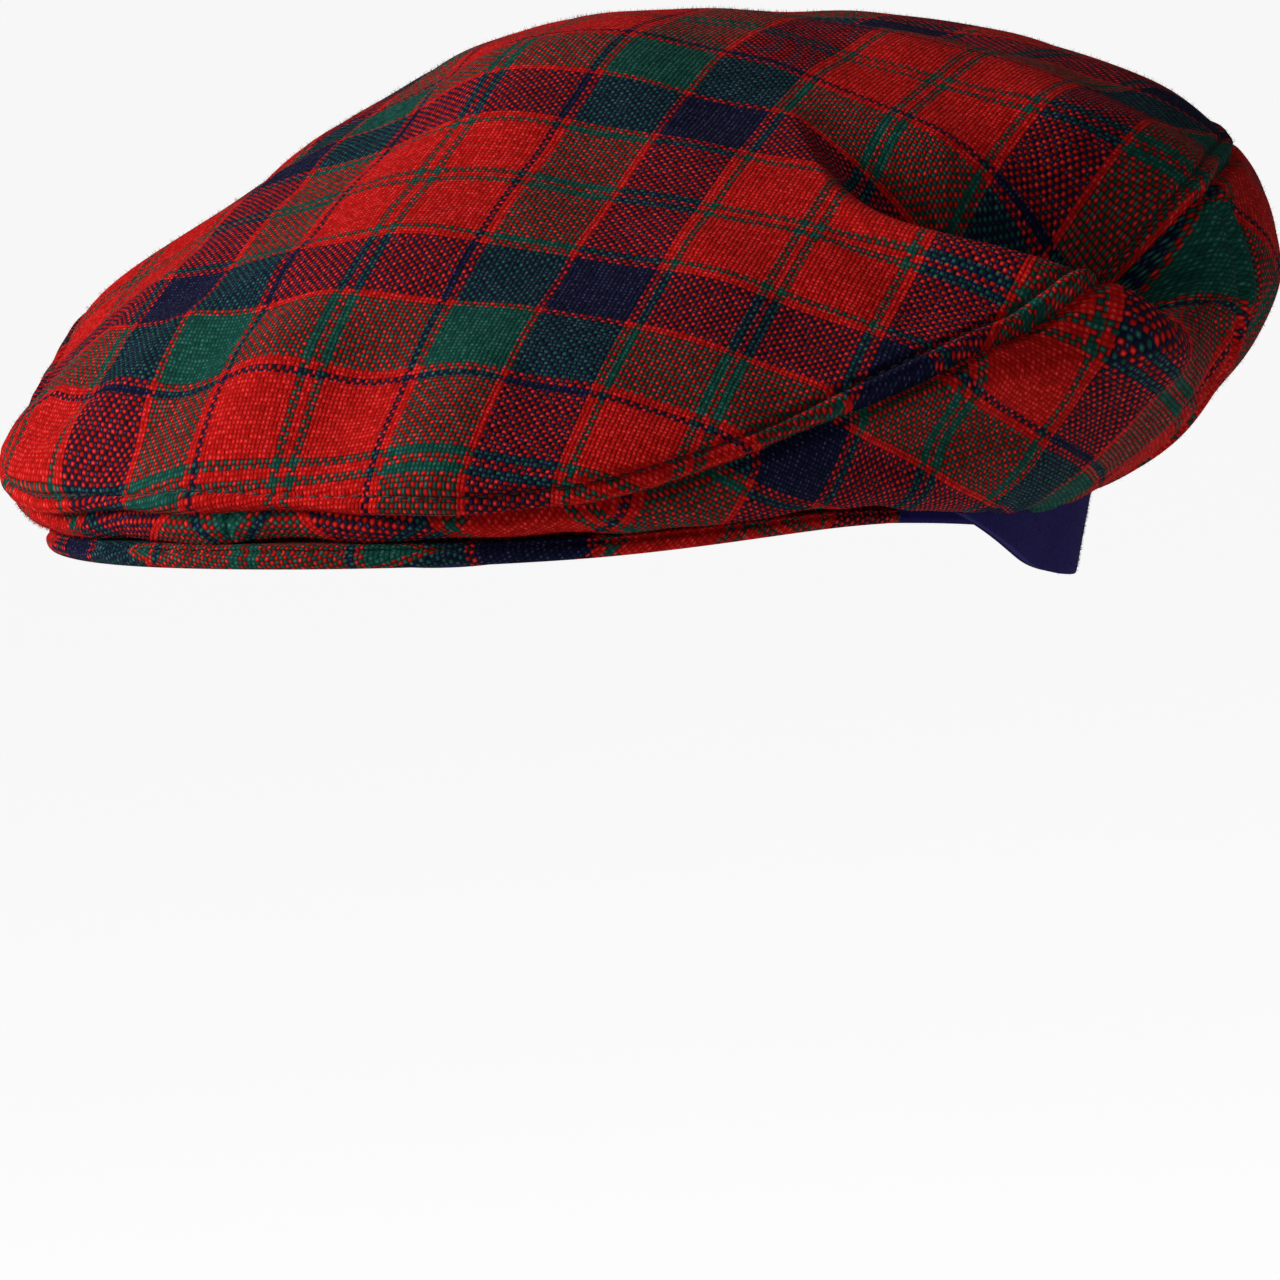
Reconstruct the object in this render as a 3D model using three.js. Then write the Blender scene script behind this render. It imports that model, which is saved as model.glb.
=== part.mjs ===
// A soft flat cap: one-piece top, two side panels, a back panel, a stiff peak and a felt ear flap.
// Units are millimetres, +Z is up. The wearer faces -Y, so the wearer's left is +X.
// The origin is the middle of the head opening, level with the rim over the ears.
import * as THREE from 'three';
import { mergeVertices } from 'three/addons/utils/BufferGeometryUtils.js';

// ---- Driving dimensions ----
const CLOTH = 2.0; // a lined wool wall
const GAP = 0.3; // clearance between neighbouring pieces
const CROWN_HEIGHT = 93;
const ROUND_SHARE = 0.45; // the share of the way out over which the top's middle is rounded
const REAR_SEAM_TURN = 111; // degrees from the front to each rear seam
const STATION_STEP = 22.5;
const SECTION_SAMPLES = 120;
const NORMAL_STEP = 0.5; // millimetres along a section, and degrees round the cap, to each side

// One row for each station round the cap, from the middle of the front to the middle of the back.
// A section runs from the middle of the top, over the widest line, and in under it to the rim.
// sideDepth is the height of side cloth between the top seam and the rim.
const STATIONS = [
  { rimReach: 148, rimHeight: 13, wideReach: 151.5, wideHeight: 21, domePower: 1.3, skirtPower: 1.6, sideDepth: 6 },
  { rimReach: 136, rimHeight: 11.5, wideReach: 145, wideHeight: 22, domePower: 1.2, skirtPower: 1.9, sideDepth: 9 },
  { rimReach: 111, rimHeight: 9.5, wideReach: 121.5, wideHeight: 28, domePower: 1.3, skirtPower: 1.8, sideDepth: 22 },
  { rimReach: 90, rimHeight: 3.5, wideReach: 116, wideHeight: 31, domePower: 1.4, skirtPower: 1.6, sideDepth: 49 },
  { rimReach: 79, rimHeight: 0, wideReach: 111, wideHeight: 34, domePower: 1.6, skirtPower: 1.5, sideDepth: 65 },
  { rimReach: 79.5, rimHeight: 0, wideReach: 113, wideHeight: 35, domePower: 2, skirtPower: 1.4, sideDepth: 73 },
  { rimReach: 84, rimHeight: 1, wideReach: 122, wideHeight: 39, domePower: 2.2, skirtPower: 1.55, sideDepth: 80 },
  { rimReach: 93, rimHeight: 2, wideReach: 123, wideHeight: 43, domePower: 2.25, skirtPower: 1.5, sideDepth: 80 },
  { rimReach: 97, rimHeight: 2, wideReach: 120, wideHeight: 43, domePower: 2.3, skirtPower: 1.5, sideDepth: 83 },
];

const NARROWEST_REACH = Math.min(...STATIONS.map((row) => row.rimReach));

// Folds, on the cloth laid flat from the middle of the top: across is towards the wearer's left,
// ahead is towards the peak. bow is how far the fold's middle lies aside of its chord.
// A positive depth is a valley and a negative one a ridge.
const FOLDS = [
  // the deep crease over the left rear, and the roll of cloth in front of it
  { across: 62, ahead: 40, endAcross: 124, endAhead: -22, bow: -17, halfWidth: 9, depth: 10 },
  { across: 74, ahead: 54, endAcross: 138, endAhead: -10, bow: -17, halfWidth: 8, depth: -4 },
  { across: 70, ahead: 6, endAcross: 112, endAhead: -40, bow: -8, halfWidth: 12, depth: -3 },
  // the long dip across the top, behind the highest point
  { across: -6, ahead: -18, endAcross: 96, endAhead: -58, bow: 0, halfWidth: 16, depth: 3.5 },
  // the roll of the top over the left side panel
  { across: 88, ahead: 112, endAcross: 124, endAhead: 46, bow: 0, halfWidth: 7, depth: -2.5 },
  { across: 102, ahead: 118, endAcross: 142, endAhead: 50, bow: 0, halfWidth: 7, depth: 2.5 },
  // soft ripples over the front
  { across: -52, ahead: 172, endAcross: -34, endAhead: 104, bow: 0, halfWidth: 9, depth: -1.6 },
  { across: -32, ahead: 180, endAcross: -20, endAhead: 112, bow: 0, halfWidth: 8, depth: 1.4 },
  { across: -8, ahead: 184, endAcross: -2, endAhead: 104, bow: 0, halfWidth: 9, depth: -1.8 },
  { across: 18, ahead: 184, endAcross: 16, endAhead: 112, bow: 0, halfWidth: 9, depth: 1.6 },
  { across: 42, ahead: 178, endAcross: 34, endAhead: 104, bow: 0, halfWidth: 9, depth: -1.6 },
  // the right side, softer
  { across: -66, ahead: 36, endAcross: -132, endAhead: -20, bow: 12, halfWidth: 13, depth: 5 },
  { across: -84, ahead: 60, endAcross: -140, endAhead: 6, bow: 12, halfWidth: 12, depth: -2 },
  // slack cloth round the back
  { across: -40, ahead: -104, endAcross: -66, endAhead: -170, bow: 4, halfWidth: 15, depth: 3 },
  { across: 22, ahead: -106, endAcross: 34, endAhead: -180, bow: -4, halfWidth: 15, depth: 3 },
];

// The seam allowance under the edge of the top makes a raised welt beside a groove.
const WELT_WIDTH = 4.5;
const WELT_LIFT = 0.9;
const GROOVE_REACH = 1.6;
const GROOVE_DEPTH = 1.1;

const PEAK_TURN = 53; // degrees from the front to each corner
const PEAK_LIP = 3; // how far the edge stands out past the body in front
const PEAK_EDGE = 4.2;
const PEAK_CORNER_EDGE = 2.4;
const PEAK_CAMBER = 7; // rise from the front edge to the headband
const PEAK_CORNER_CAMBER = 0.2; // the share of that rise left at the corners
const PEAK_ROUND_FROM = 0.75; // the share of the way out where the edge begins to round
const PEAK_ROUND_SHARE = 0.35; // the share of the edge's thickness rounded off each face
const PEAK_ROW_POWER = 1.5; // draws the rows together towards the edge
const PEAK_BACK_LENGTH = 99; // headband, from the origin to its front
const PEAK_BACK_WIDTH = 80;

const FELT = 2.5;
const FLAP_TURN = 64; // degrees from the front to each end of the flap
const FLAP_TUCK = 12; // how far the flap reaches up inside the rim
const FLAP_END_DROP = 0.5;
const FLAP_BACK_DROP = 18;
const FLAP_DROP_TURN = 64; // degrees over which the lower edge falls from each end to full depth
const RIM_TURN_IN = 0.9; // how far a panel's inner face lies in from its rim
const FLAP_DRAW_IN = 4; // how far its lower edge leans in towards the head

const TOP_ROWS = 18;
const COARSE_STEP = 6; // degrees between columns of a panel, where the cloth is smooth
const FINE_STEP = 3; // and over the deep crease
const CREASE_TURNS = [36, 120];
const PANEL_ROWS = 10;
const PEAK_COLUMNS = 40;
const PEAK_ROWS = 5;
const FLAP_COLUMNS = 56;
const FLAP_ROWS = 4;
const EDGE_ROWS = [5, 3.2, 1.6]; // distances from a seam that get a row of their own

const TARTAN = new THREE.MeshStandardMaterial({ color: 0x9c1f24, roughness: 0.9, metalness: 0 });
const TARTAN_DARK = new THREE.MeshStandardMaterial({ color: 0x5a1f30, roughness: 0.9, metalness: 0 });
const NAVY_FELT = new THREE.MeshStandardMaterial({ color: 0x1b1c4f, roughness: 1, metalness: 0 });

// ---- The surface of the crown ----
function station(turn) {
  const place = Math.abs(THREE.MathUtils.euclideanModulo(turn + 180, 360) - 180) / STATION_STEP;
  const last = STATIONS.length - 1;
  const index = Math.min(Math.floor(place), last - 1);
  const f = place - index;
  const row = (k) => STATIONS[last - Math.abs(last - Math.abs(k))];
  const [a, b, c, d] = [row(index - 1), row(index), row(index + 1), row(index + 2)];
  const values = {};
  for (const name of Object.keys(b)) {
    const slopeB = (c[name] - a[name]) / 2;
    const slopeC = (d[name] - b[name]) / 2;
    const rise = c[name] - b[name];
    const cubic = slopeB + slopeC - 2 * rise;
    const square = 3 * rise - 2 * slopeB - slopeC;
    values[name] = b[name] + f * (slopeB + f * (square + f * cubic));
  }
  return values;
}

// Above the widest line: an ellipse's curve near the middle, turning into the station's own.
function domePoint(s, angle) {
  const share = Math.sin(angle);
  const power = 2 + (s.domePower - 2) * THREE.MathUtils.smoothstep(share, 0, ROUND_SHARE);
  const rise = Math.max(1 - share ** power, 0) ** (1 / power);
  return [s.wideReach * share, s.wideHeight + (CROWN_HEIGHT - s.wideHeight) * rise];
}

// Below the widest line, in to the rim.
function skirtPoint(s, angle) {
  const out = Math.max(Math.cos(angle), 0) ** (2 / s.skirtPower);
  const down = Math.sin(angle) ** (2 / s.skirtPower);
  return [s.rimReach + (s.wideReach - s.rimReach) * out, s.wideHeight - (s.wideHeight - s.rimHeight) * down];
}

// The section at one turn, as points with the run of cloth from the middle of the top.
function section(turn) {
  const s = station(turn);
  const points = [];
  let run = 0;
  for (let k = 0; k <= 2 * SECTION_SAMPLES; k++) {
    const upper = k <= SECTION_SAMPLES;
    const angle = ((upper ? k : k - SECTION_SAMPLES) / SECTION_SAMPLES) * (Math.PI / 2);
    const [reach, height] = upper ? domePoint(s, angle) : skirtPoint(s, angle);
    const before = points[k - 1];
    if (before) run += Math.hypot(reach - before.reach, height - before.height);
    points.push({ reach, height, run });
  }
  return { points, length: run, seam: run - s.sideDepth };
}

const sectionCache = new Map();
function cachedSection(turn) {
  const key = turn.toFixed(4);
  if (!sectionCache.has(key)) sectionCache.set(key, section(turn));
  return sectionCache.get(key);
}

function smoothPoint(turn, run) {
  const { points } = cachedSection(turn);
  let low = 0;
  let high = points.length - 1;
  while (high - low > 1) {
    const middle = (low + high) >> 1;
    if (points[middle].run > run) high = middle;
    else low = middle;
  }
  const [a, b] = [points[low], points[high]];
  const f = (run - a.run) / (b.run - a.run || 1);
  const reach = a.reach + (b.reach - a.reach) * f;
  const height = a.height + (b.height - a.height) * f;
  const angle = THREE.MathUtils.degToRad(turn);
  return new THREE.Vector3(reach * Math.sin(angle), -reach * Math.cos(angle), height);
}

// How far the folds push the cloth out along its normal.
function foldLift(turn, run) {
  const angle = THREE.MathUtils.degToRad(turn);
  const across = run * Math.sin(angle);
  const ahead = run * Math.cos(angle);
  let lift = 0;
  for (const fold of FOLDS) {
    const [dx, dy] = [fold.endAcross - fold.across, fold.endAhead - fold.ahead];
    const length = Math.hypot(dx, dy);
    const along = ((across - fold.across) * dx + (ahead - fold.ahead) * dy) / length ** 2;
    const bowed = fold.bow * 4 * along * (1 - along);
    const aside = ((across - fold.across) * dy - (ahead - fold.ahead) * dx) / length - bowed;
    if (along <= 0 || along >= 1) continue;
    lift -= fold.depth * Math.sin(Math.PI * along) * Math.exp(-((aside / fold.halfWidth) ** 2));
  }
  return lift;
}

// The welt and groove beside a seam; away is the distance from it, on the welt's side if welted.
function seamLift(away, welted) {
  const groove = -GROOVE_DEPTH * Math.exp(-((away / GROOVE_REACH) ** 2));
  const welt = welted ? WELT_LIFT * Math.exp(-(((away - WELT_WIDTH / 2) / (WELT_WIDTH / 2)) ** 2)) : 0;
  return groove + welt;
}

function smoothNormal(turn, run) {
  const step = NORMAL_STEP;
  const length = cachedSection(turn).length;
  const low = Math.max(run - step, step / 2);
  const high = Math.min(run + step, length);
  const down = smoothPoint(turn, high).sub(smoothPoint(turn, low));
  const round = smoothPoint(turn + step, Math.max(run, 1)).sub(smoothPoint(turn - step, Math.max(run, 1)));
  return down.cross(round).normalize();
}

function crownPoint(turn, run, extraLift) {
  const point = smoothPoint(turn, run);
  const normal = run < 1 ? new THREE.Vector3(0, 0, 1) : smoothNormal(turn, run);
  return point.addScaledVector(normal, foldLift(turn, run) + extraLift);
}

// ---- Closed walls from two matching grids of points ----
// outer[i][j] faces out; inner[i][j] lies one wall below it. A ring joins its last column to its first.
function wall(name, material, outer, inner, ring) {
  const columns = outer.length;
  const rows = outer[0].length;
  const positions = [];
  for (const grid of [outer, inner]) {
    for (const column of grid) {
      for (const p of column) positions.push(p.x, p.y, p.z);
    }
  }
  const at = (layer, i, j) => layer * columns * rows + (i % columns) * rows + j;
  const triangles = [];
  const quad = (a, b, c, d) => triangles.push([a, b, c], [a, c, d]);
  const strips = ring ? columns : columns - 1;
  for (let i = 0; i < strips; i++) {
    for (let j = 0; j < rows - 1; j++) {
      quad(at(0, i, j), at(0, i, j + 1), at(0, i + 1, j + 1), at(0, i + 1, j));
      quad(at(1, i, j), at(1, i + 1, j), at(1, i + 1, j + 1), at(1, i, j + 1));
    }
    quad(at(0, i, rows - 1), at(1, i, rows - 1), at(1, i + 1, rows - 1), at(0, i + 1, rows - 1));
    if (!ring) quad(at(0, i, 0), at(0, i + 1, 0), at(1, i + 1, 0), at(1, i, 0));
  }
  for (let j = 0; j < rows - 1 && !ring; j++) {
    const end = columns - 1;
    quad(at(0, 0, j), at(1, 0, j), at(1, 0, j + 1), at(0, 0, j + 1));
    quad(at(0, end, j), at(0, end, j + 1), at(1, end, j + 1), at(1, end, j));
  }
  const corner = (k) => positions.slice(3 * k, 3 * k + 3).join();
  const solid = triangles.filter(([a, b, c]) => new Set([corner(a), corner(b), corner(c)]).size === 3);
  const geometry = new THREE.BufferGeometry();
  geometry.setAttribute('position', new THREE.Float32BufferAttribute(positions, 3));
  geometry.setIndex(solid.flat());
  const merged = mergeVertices(geometry, 1e-4);
  merged.computeVertexNormals();
  const mesh = new THREE.Mesh(merged, material);
  mesh.name = name;
  return mesh;
}

// The inner face of a wall, one thickness in from the outer face along that face's own normals.
function innerGrid(outer, thickness, ring) {
  const columns = outer.length;
  const rows = outer[0].length;
  return outer.map((column, i) =>
    column.map((point, j) => {
      const before = ring ? outer[(i + columns - 1) % columns] : outer[Math.max(i - 1, 0)];
      const after = ring ? outer[(i + 1) % columns] : outer[Math.min(i + 1, columns - 1)];
      const atPole = ring && j === 0;
      const down = column[Math.min(j + 1, rows - 1)].clone().sub(column[Math.max(j - 1, 0)]);
      const normal = atPole ? new THREE.Vector3(0, 0, 1) : down.cross(after[j].clone().sub(before[j])).normalize();
      return point.clone().addScaledVector(normal, -thickness);
    }),
  );
}

// ---- Rows and columns of the panels ----
function spread(from, to, count) {
  return Array.from({ length: count + 1 }, (_, k) => from + ((to - from) * k) / count);
}

// Turns from one side to the other, closer together over the deep crease.
function panelTurns(from, to) {
  const stops = [from, ...CREASE_TURNS.filter((turn) => turn > from + FINE_STEP && turn < to - FINE_STEP), to];
  const turns = [from];
  for (let k = 1; k < stops.length; k++) {
    const middle = (stops[k - 1] + stops[k]) / 2;
    const creased = middle > CREASE_TURNS[0] && middle < CREASE_TURNS[1];
    const count = Math.ceil((stops[k] - stops[k - 1]) / (creased ? FINE_STEP : COARSE_STEP));
    turns.push(...spread(stops[k - 1], stops[k], count).slice(1));
  }
  return turns;
}

// Runs from the middle of the top to the seam, closer together beside the seam.
function topRuns(seam) {
  const edge = seam - GAP / 2;
  return [...spread(0, edge - EDGE_ROWS[0], TOP_ROWS), ...EDGE_ROWS.slice(1).map((away) => edge - away), edge];
}

// Runs from the seam down to the rim, closer together beside the seam where there is room.
function panelRuns(seam, length) {
  const start = seam + GAP / 2;
  const first = Math.min(EDGE_ROWS.at(-1), (length - start) / 4);
  return [start, ...spread(start + first, length, PANEL_ROWS - 1)];
}

function topPanel() {
  const outer = panelTurns(-180, 180)
    .slice(0, -1)
    .map((turn) => {
      const { seam } = cachedSection(turn);
      return topRuns(seam).map((run) => crownPoint(turn, run, seamLift(seam - run, true)));
    });
  return wall('top_panel', TARTAN, outer, innerGrid(outer, CLOTH, true), true);
}

// A panel between the top seam and the rim. Each end stops half a gap short of its seam.
function lowerPanel(name, material, fromTurn, toTurn) {
  const halfGapTurn = THREE.MathUtils.radToDeg(GAP / 2 / NARROWEST_REACH);
  const outer = panelTurns(fromTurn + halfGapTurn, toTurn - halfGapTurn).map((turn) => {
    const { seam, length } = cachedSection(turn);
    return panelRuns(seam, length).map((run) => crownPoint(turn, run, seamLift(run - seam, false)));
  });
  return wall(name, material, outer, innerGrid(outer, CLOTH, false), false);
}

// ---- The peak ----
// A crescent board from the front of the headband to just past the body's front edge.
function peak() {
  const upper = [];
  const lower = [];
  for (const turn of spread(-PEAK_TURN, PEAK_TURN, PEAK_COLUMNS)) {
    const s = station(turn);
    const angle = THREE.MathUtils.degToRad(turn);
    const cornering = (Math.abs(turn) / PEAK_TURN) ** 2;
    const back = 1 / Math.hypot(Math.sin(angle) / PEAK_BACK_WIDTH, Math.cos(angle) / PEAK_BACK_LENGTH);
    const front = s.rimReach + PEAK_LIP * (1 - cornering) - CLOTH * cornering;
    const edge = PEAK_EDGE + (PEAK_CORNER_EDGE - PEAK_EDGE) * cornering;
    const point = (reach, height) => new THREE.Vector3(reach * Math.sin(angle), -reach * Math.cos(angle), height);
    const place = (f) => {
      const camber = PEAK_CAMBER * (1 - f) ** 2 * (1 + (PEAK_CORNER_CAMBER - 1) * cornering);
      const rounding = PEAK_ROUND_SHARE * edge * (Math.max(f - PEAK_ROUND_FROM, 0) / (1 - PEAK_ROUND_FROM)) ** 2;
      const top = s.rimHeight - GAP + camber;
      const reach = back + (front - back) * (1 - (1 - f) ** PEAK_ROW_POWER);
      return { reach, top: top - rounding, bottom: top - edge + rounding };
    };
    const spots = spread(0, 1, PEAK_ROWS).map(place);
    upper.push(spots.map((spot) => point(spot.reach, spot.top)));
    lower.push(spots.map((spot) => point(spot.reach, spot.bottom)));
  }
  return wall('peak', TARTAN_DARK, upper, lower, false);
}

// ---- The ear flap ----
// How far the flap's lower edge hangs below the rim.
function flapDrop(turn) {
  const fromEnd = 180 - FLAP_TURN - Math.abs(turn - 180);
  const fall = Math.sin((Math.PI / 2) * Math.min(Math.max(fromEnd / FLAP_DROP_TURN, 0), 1));
  return FLAP_END_DROP + (FLAP_BACK_DROP - FLAP_END_DROP) * fall;
}

function earFlap() {
  const outer = [];
  for (const turn of spread(FLAP_TURN, 360 - FLAP_TURN, FLAP_COLUMNS)) {
    const s = station(turn);
    const angle = THREE.MathUtils.degToRad(turn);
    const bottom = s.rimHeight - flapDrop(turn);
    const top = s.rimHeight + FLAP_TUCK;
    outer.push(
      spread(0, 1, FLAP_ROWS).map((f) => {
        const height = top + (bottom - top) * f;
        const below = Math.max(s.rimHeight - height, 0) / FLAP_BACK_DROP;
        const reach = s.rimReach - RIM_TURN_IN - GAP - FLAP_DRAW_IN * below;
        return new THREE.Vector3(reach * Math.sin(angle), -reach * Math.cos(angle), height);
      }),
    );
  }
  return wall('ear_flap', NAVY_FELT, outer, innerGrid(outer, FELT, false), false);
}

const cap = new THREE.Group();
cap.add(topPanel());
cap.add(lowerPanel('side_panel_left', TARTAN_DARK, 0, REAR_SEAM_TURN));
cap.add(lowerPanel('side_panel_right', TARTAN_DARK, -REAR_SEAM_TURN, 0));
cap.add(lowerPanel('back_panel', TARTAN_DARK, REAR_SEAM_TURN, 360 - REAR_SEAM_TURN));
cap.add(peak());
cap.add(earFlap());

export default cap;
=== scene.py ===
"""A soft tartan flat cap with a felt ear flap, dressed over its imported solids.

The wearer faces -Y and the wearer's left is +X. Shapes are worked out in millimetres
round the middle of the head opening and go into the meshes in metres.
"""

import logging
import math
from dataclasses import dataclass, field, fields
from enum import Enum

import bpy
import numpy as np
from mathutils import Matrix, Vector

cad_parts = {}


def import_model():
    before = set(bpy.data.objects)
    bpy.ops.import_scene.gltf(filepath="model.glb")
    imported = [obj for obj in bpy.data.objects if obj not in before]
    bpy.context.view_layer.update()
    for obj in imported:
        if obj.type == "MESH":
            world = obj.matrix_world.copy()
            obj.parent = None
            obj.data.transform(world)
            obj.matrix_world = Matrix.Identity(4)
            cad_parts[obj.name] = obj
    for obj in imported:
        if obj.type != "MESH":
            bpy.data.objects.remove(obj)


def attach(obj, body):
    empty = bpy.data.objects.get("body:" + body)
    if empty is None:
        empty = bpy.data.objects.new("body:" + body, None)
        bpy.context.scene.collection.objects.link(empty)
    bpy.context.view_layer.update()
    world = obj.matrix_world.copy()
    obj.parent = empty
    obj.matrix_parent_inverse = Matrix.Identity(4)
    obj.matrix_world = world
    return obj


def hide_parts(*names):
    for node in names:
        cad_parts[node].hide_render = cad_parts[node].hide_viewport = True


LOG = logging.getLogger("flat_cap")
METRES = 0.001  # one millimetre
TINY = 1e-12  # keeps a length that is divided by off zero
WOOL_SLOT = "tartan_twill"
FELT_SLOT = "navy_felt"
CLOTH_MAP = "Cloth"  # the UV map that holds each point's place on the cloth, in yarns

Array = np.ndarray
Object = bpy.types.Object
Material = bpy.types.Material
Node = bpy.types.Node
Socket = bpy.types.NodeSocket
Point = tuple[float, float, float]
Colour = tuple[float, float, float, float]


# ---- Small formulas ----


def wrap(turn: Array) -> Array:
    """Turns from the front, brought to between -180 and 180 degrees."""
    return (turn + 180) % 360 - 180


def bell(away: Array, reach: float) -> Array:
    """A bell curve: 1 in the middle, and e to the power -1 at that reach."""
    return np.exp(-((away / reach) ** 2))


def unit(vectors: Array) -> Array:
    """Vectors brought to length one along the last axis."""
    return vectors / np.maximum(np.linalg.norm(vectors, axis=-1, keepdims=True), TINY)


def place(turn: Array, reach: Array, height: Array) -> Array:
    """Points at a turn in degrees, a reach from the middle and a height."""
    angle = np.radians(turn)
    return np.stack([reach * np.sin(angle), -reach * np.cos(angle), height], axis=-1)


def way_along(points: Array) -> Array:
    """Distances along lines of points, which run on the last axis but one."""
    steps = np.linalg.norm(np.diff(points, axis=-2), axis=-1)
    return np.concatenate([np.zeros_like(steps[..., :1]), np.cumsum(steps, axis=-1)], axis=-1)


# ---- The shape of the crown ----


@dataclass(frozen=True)
class Station:
    """Sizes of the crown's section at one turn, in millimetres; the powers bend its curves."""

    rim_reach: float
    rim_height: float
    wide_reach: float
    wide_height: float
    dome_power: float
    skirt_power: float
    side_depth: float


@dataclass(frozen=True)
class Fold:
    """A valley, or a ridge if its depth is negative, along a bowed line on the flat cloth.

    across runs to the wearer's left and ahead to the peak, from the middle of the top.
    """

    across: float
    ahead: float
    end_across: float
    end_ahead: float
    bow: float
    half_width: float
    depth: float

    def place(self, across: Array, ahead: Array) -> tuple[Array, Array]:
        """Where points of the flat cloth lie beside the fold's line, a parabola.

        Args:
            across: Millimetres to the wearer's left.
            ahead: Millimetres to the peak.

        Returns:
            Millimetres aside from the bowed line, and a half sine from end to end.
        """
        dx = self.end_across - self.across
        dy = self.end_ahead - self.ahead
        length = math.hypot(dx, dy)
        along = ((across - self.across) * dx + (ahead - self.ahead) * dy) / length**2
        aside = ((across - self.across) * dy - (ahead - self.ahead) * dx) / length
        aside = aside - self.bow * 4 * along * (1 - along)
        return aside, np.sin(np.pi * np.clip(along, 0, 1))

    def lift(self, across: Array, ahead: Array) -> Array:
        """How far the fold pushes the cloth out: a bell across its line, times its swell."""
        aside, swell = self.place(across, ahead)
        return -self.depth * swell * bell(aside, self.half_width)


@dataclass(frozen=True)
class Ripple:
    """One gentle wave in the soft wool: its length, direction in degrees, height and start."""

    length: float
    direction: float
    height: float
    start: float

    def lift(self, across: Array, ahead: Array) -> Array:
        """How far the wave pushes the cloth out: a sine of the way along its direction.

        Args:
            across: Millimetres to the wearer's left.
            ahead: Millimetres to the peak.

        Returns:
            Millimetres along the normal.
        """
        angle = math.radians(self.direction)
        along = across * math.cos(angle) + ahead * math.sin(angle)
        return self.height * np.sin(2 * math.pi * along / self.length + self.start)


STATIONS = (
    Station(148, 13, 151.5, 21, 1.3, 1.6, 6),
    Station(136, 11.5, 145, 22, 1.2, 1.9, 9),
    Station(111, 9.5, 121.5, 28, 1.3, 1.8, 22),
    Station(90, 3.5, 116, 31, 1.4, 1.6, 49),
    Station(79, 0, 111, 34, 1.6, 1.5, 65),
    Station(79.5, 0, 113, 35, 2, 1.4, 73),
    Station(84, 1, 122, 39, 2.2, 1.55, 80),
    Station(93, 2, 123, 43, 2.25, 1.5, 80),
    Station(97, 2, 120, 43, 2.3, 1.5, 83),
)

FOLDS = (
    # the deep crease over the left rear, and the roll of cloth in front of it
    Fold(60, 42, 128, -24, -17, 12.5, 28),
    Fold(74, 58, 140, -8, -17, 9, -8),
    Fold(66, 2, 108, -46, -8, 14, -4),
    Fold(82, 24, 142, -46, -4, 14, 9),
    # the long dip across the top, behind the highest point
    Fold(-6, -18, 96, -58, 0, 16, 3.5),
    # the roll of the top over the left side panel
    Fold(88, 112, 124, 46, 0, 7, -2.5),
    Fold(102, 118, 142, 50, 0, 7, 2.5),
    # soft ripples over the front
    Fold(-52, 172, -34, 104, 0, 9, -1.6),
    Fold(-32, 180, -20, 112, 0, 8, 1.4),
    Fold(-8, 184, -2, 104, 0, 9, -1.8),
    Fold(18, 184, 16, 112, 0, 9, 1.6),
    Fold(42, 178, 34, 104, 0, 9, -1.6),
    # the right side, softer
    Fold(-66, 36, -132, -20, 12, 13, 5),
    Fold(-84, 60, -140, 6, 12, 12, -2),
    # slack cloth round the back
    Fold(-40, -104, -66, -170, 4, 15, 3),
    Fold(22, -106, 34, -180, -4, 15, 3),
)

RIPPLES = (
    Ripple(41, 20, 0.28, 0.4),
    Ripple(33, 74, 0.22, 1.9),
    Ripple(27, -38, 0.18, 3.1),
    Ripple(19, 118, 0.12, 5.0),
    Ripple(14, 52, 0.08, 2.2),
)


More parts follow.
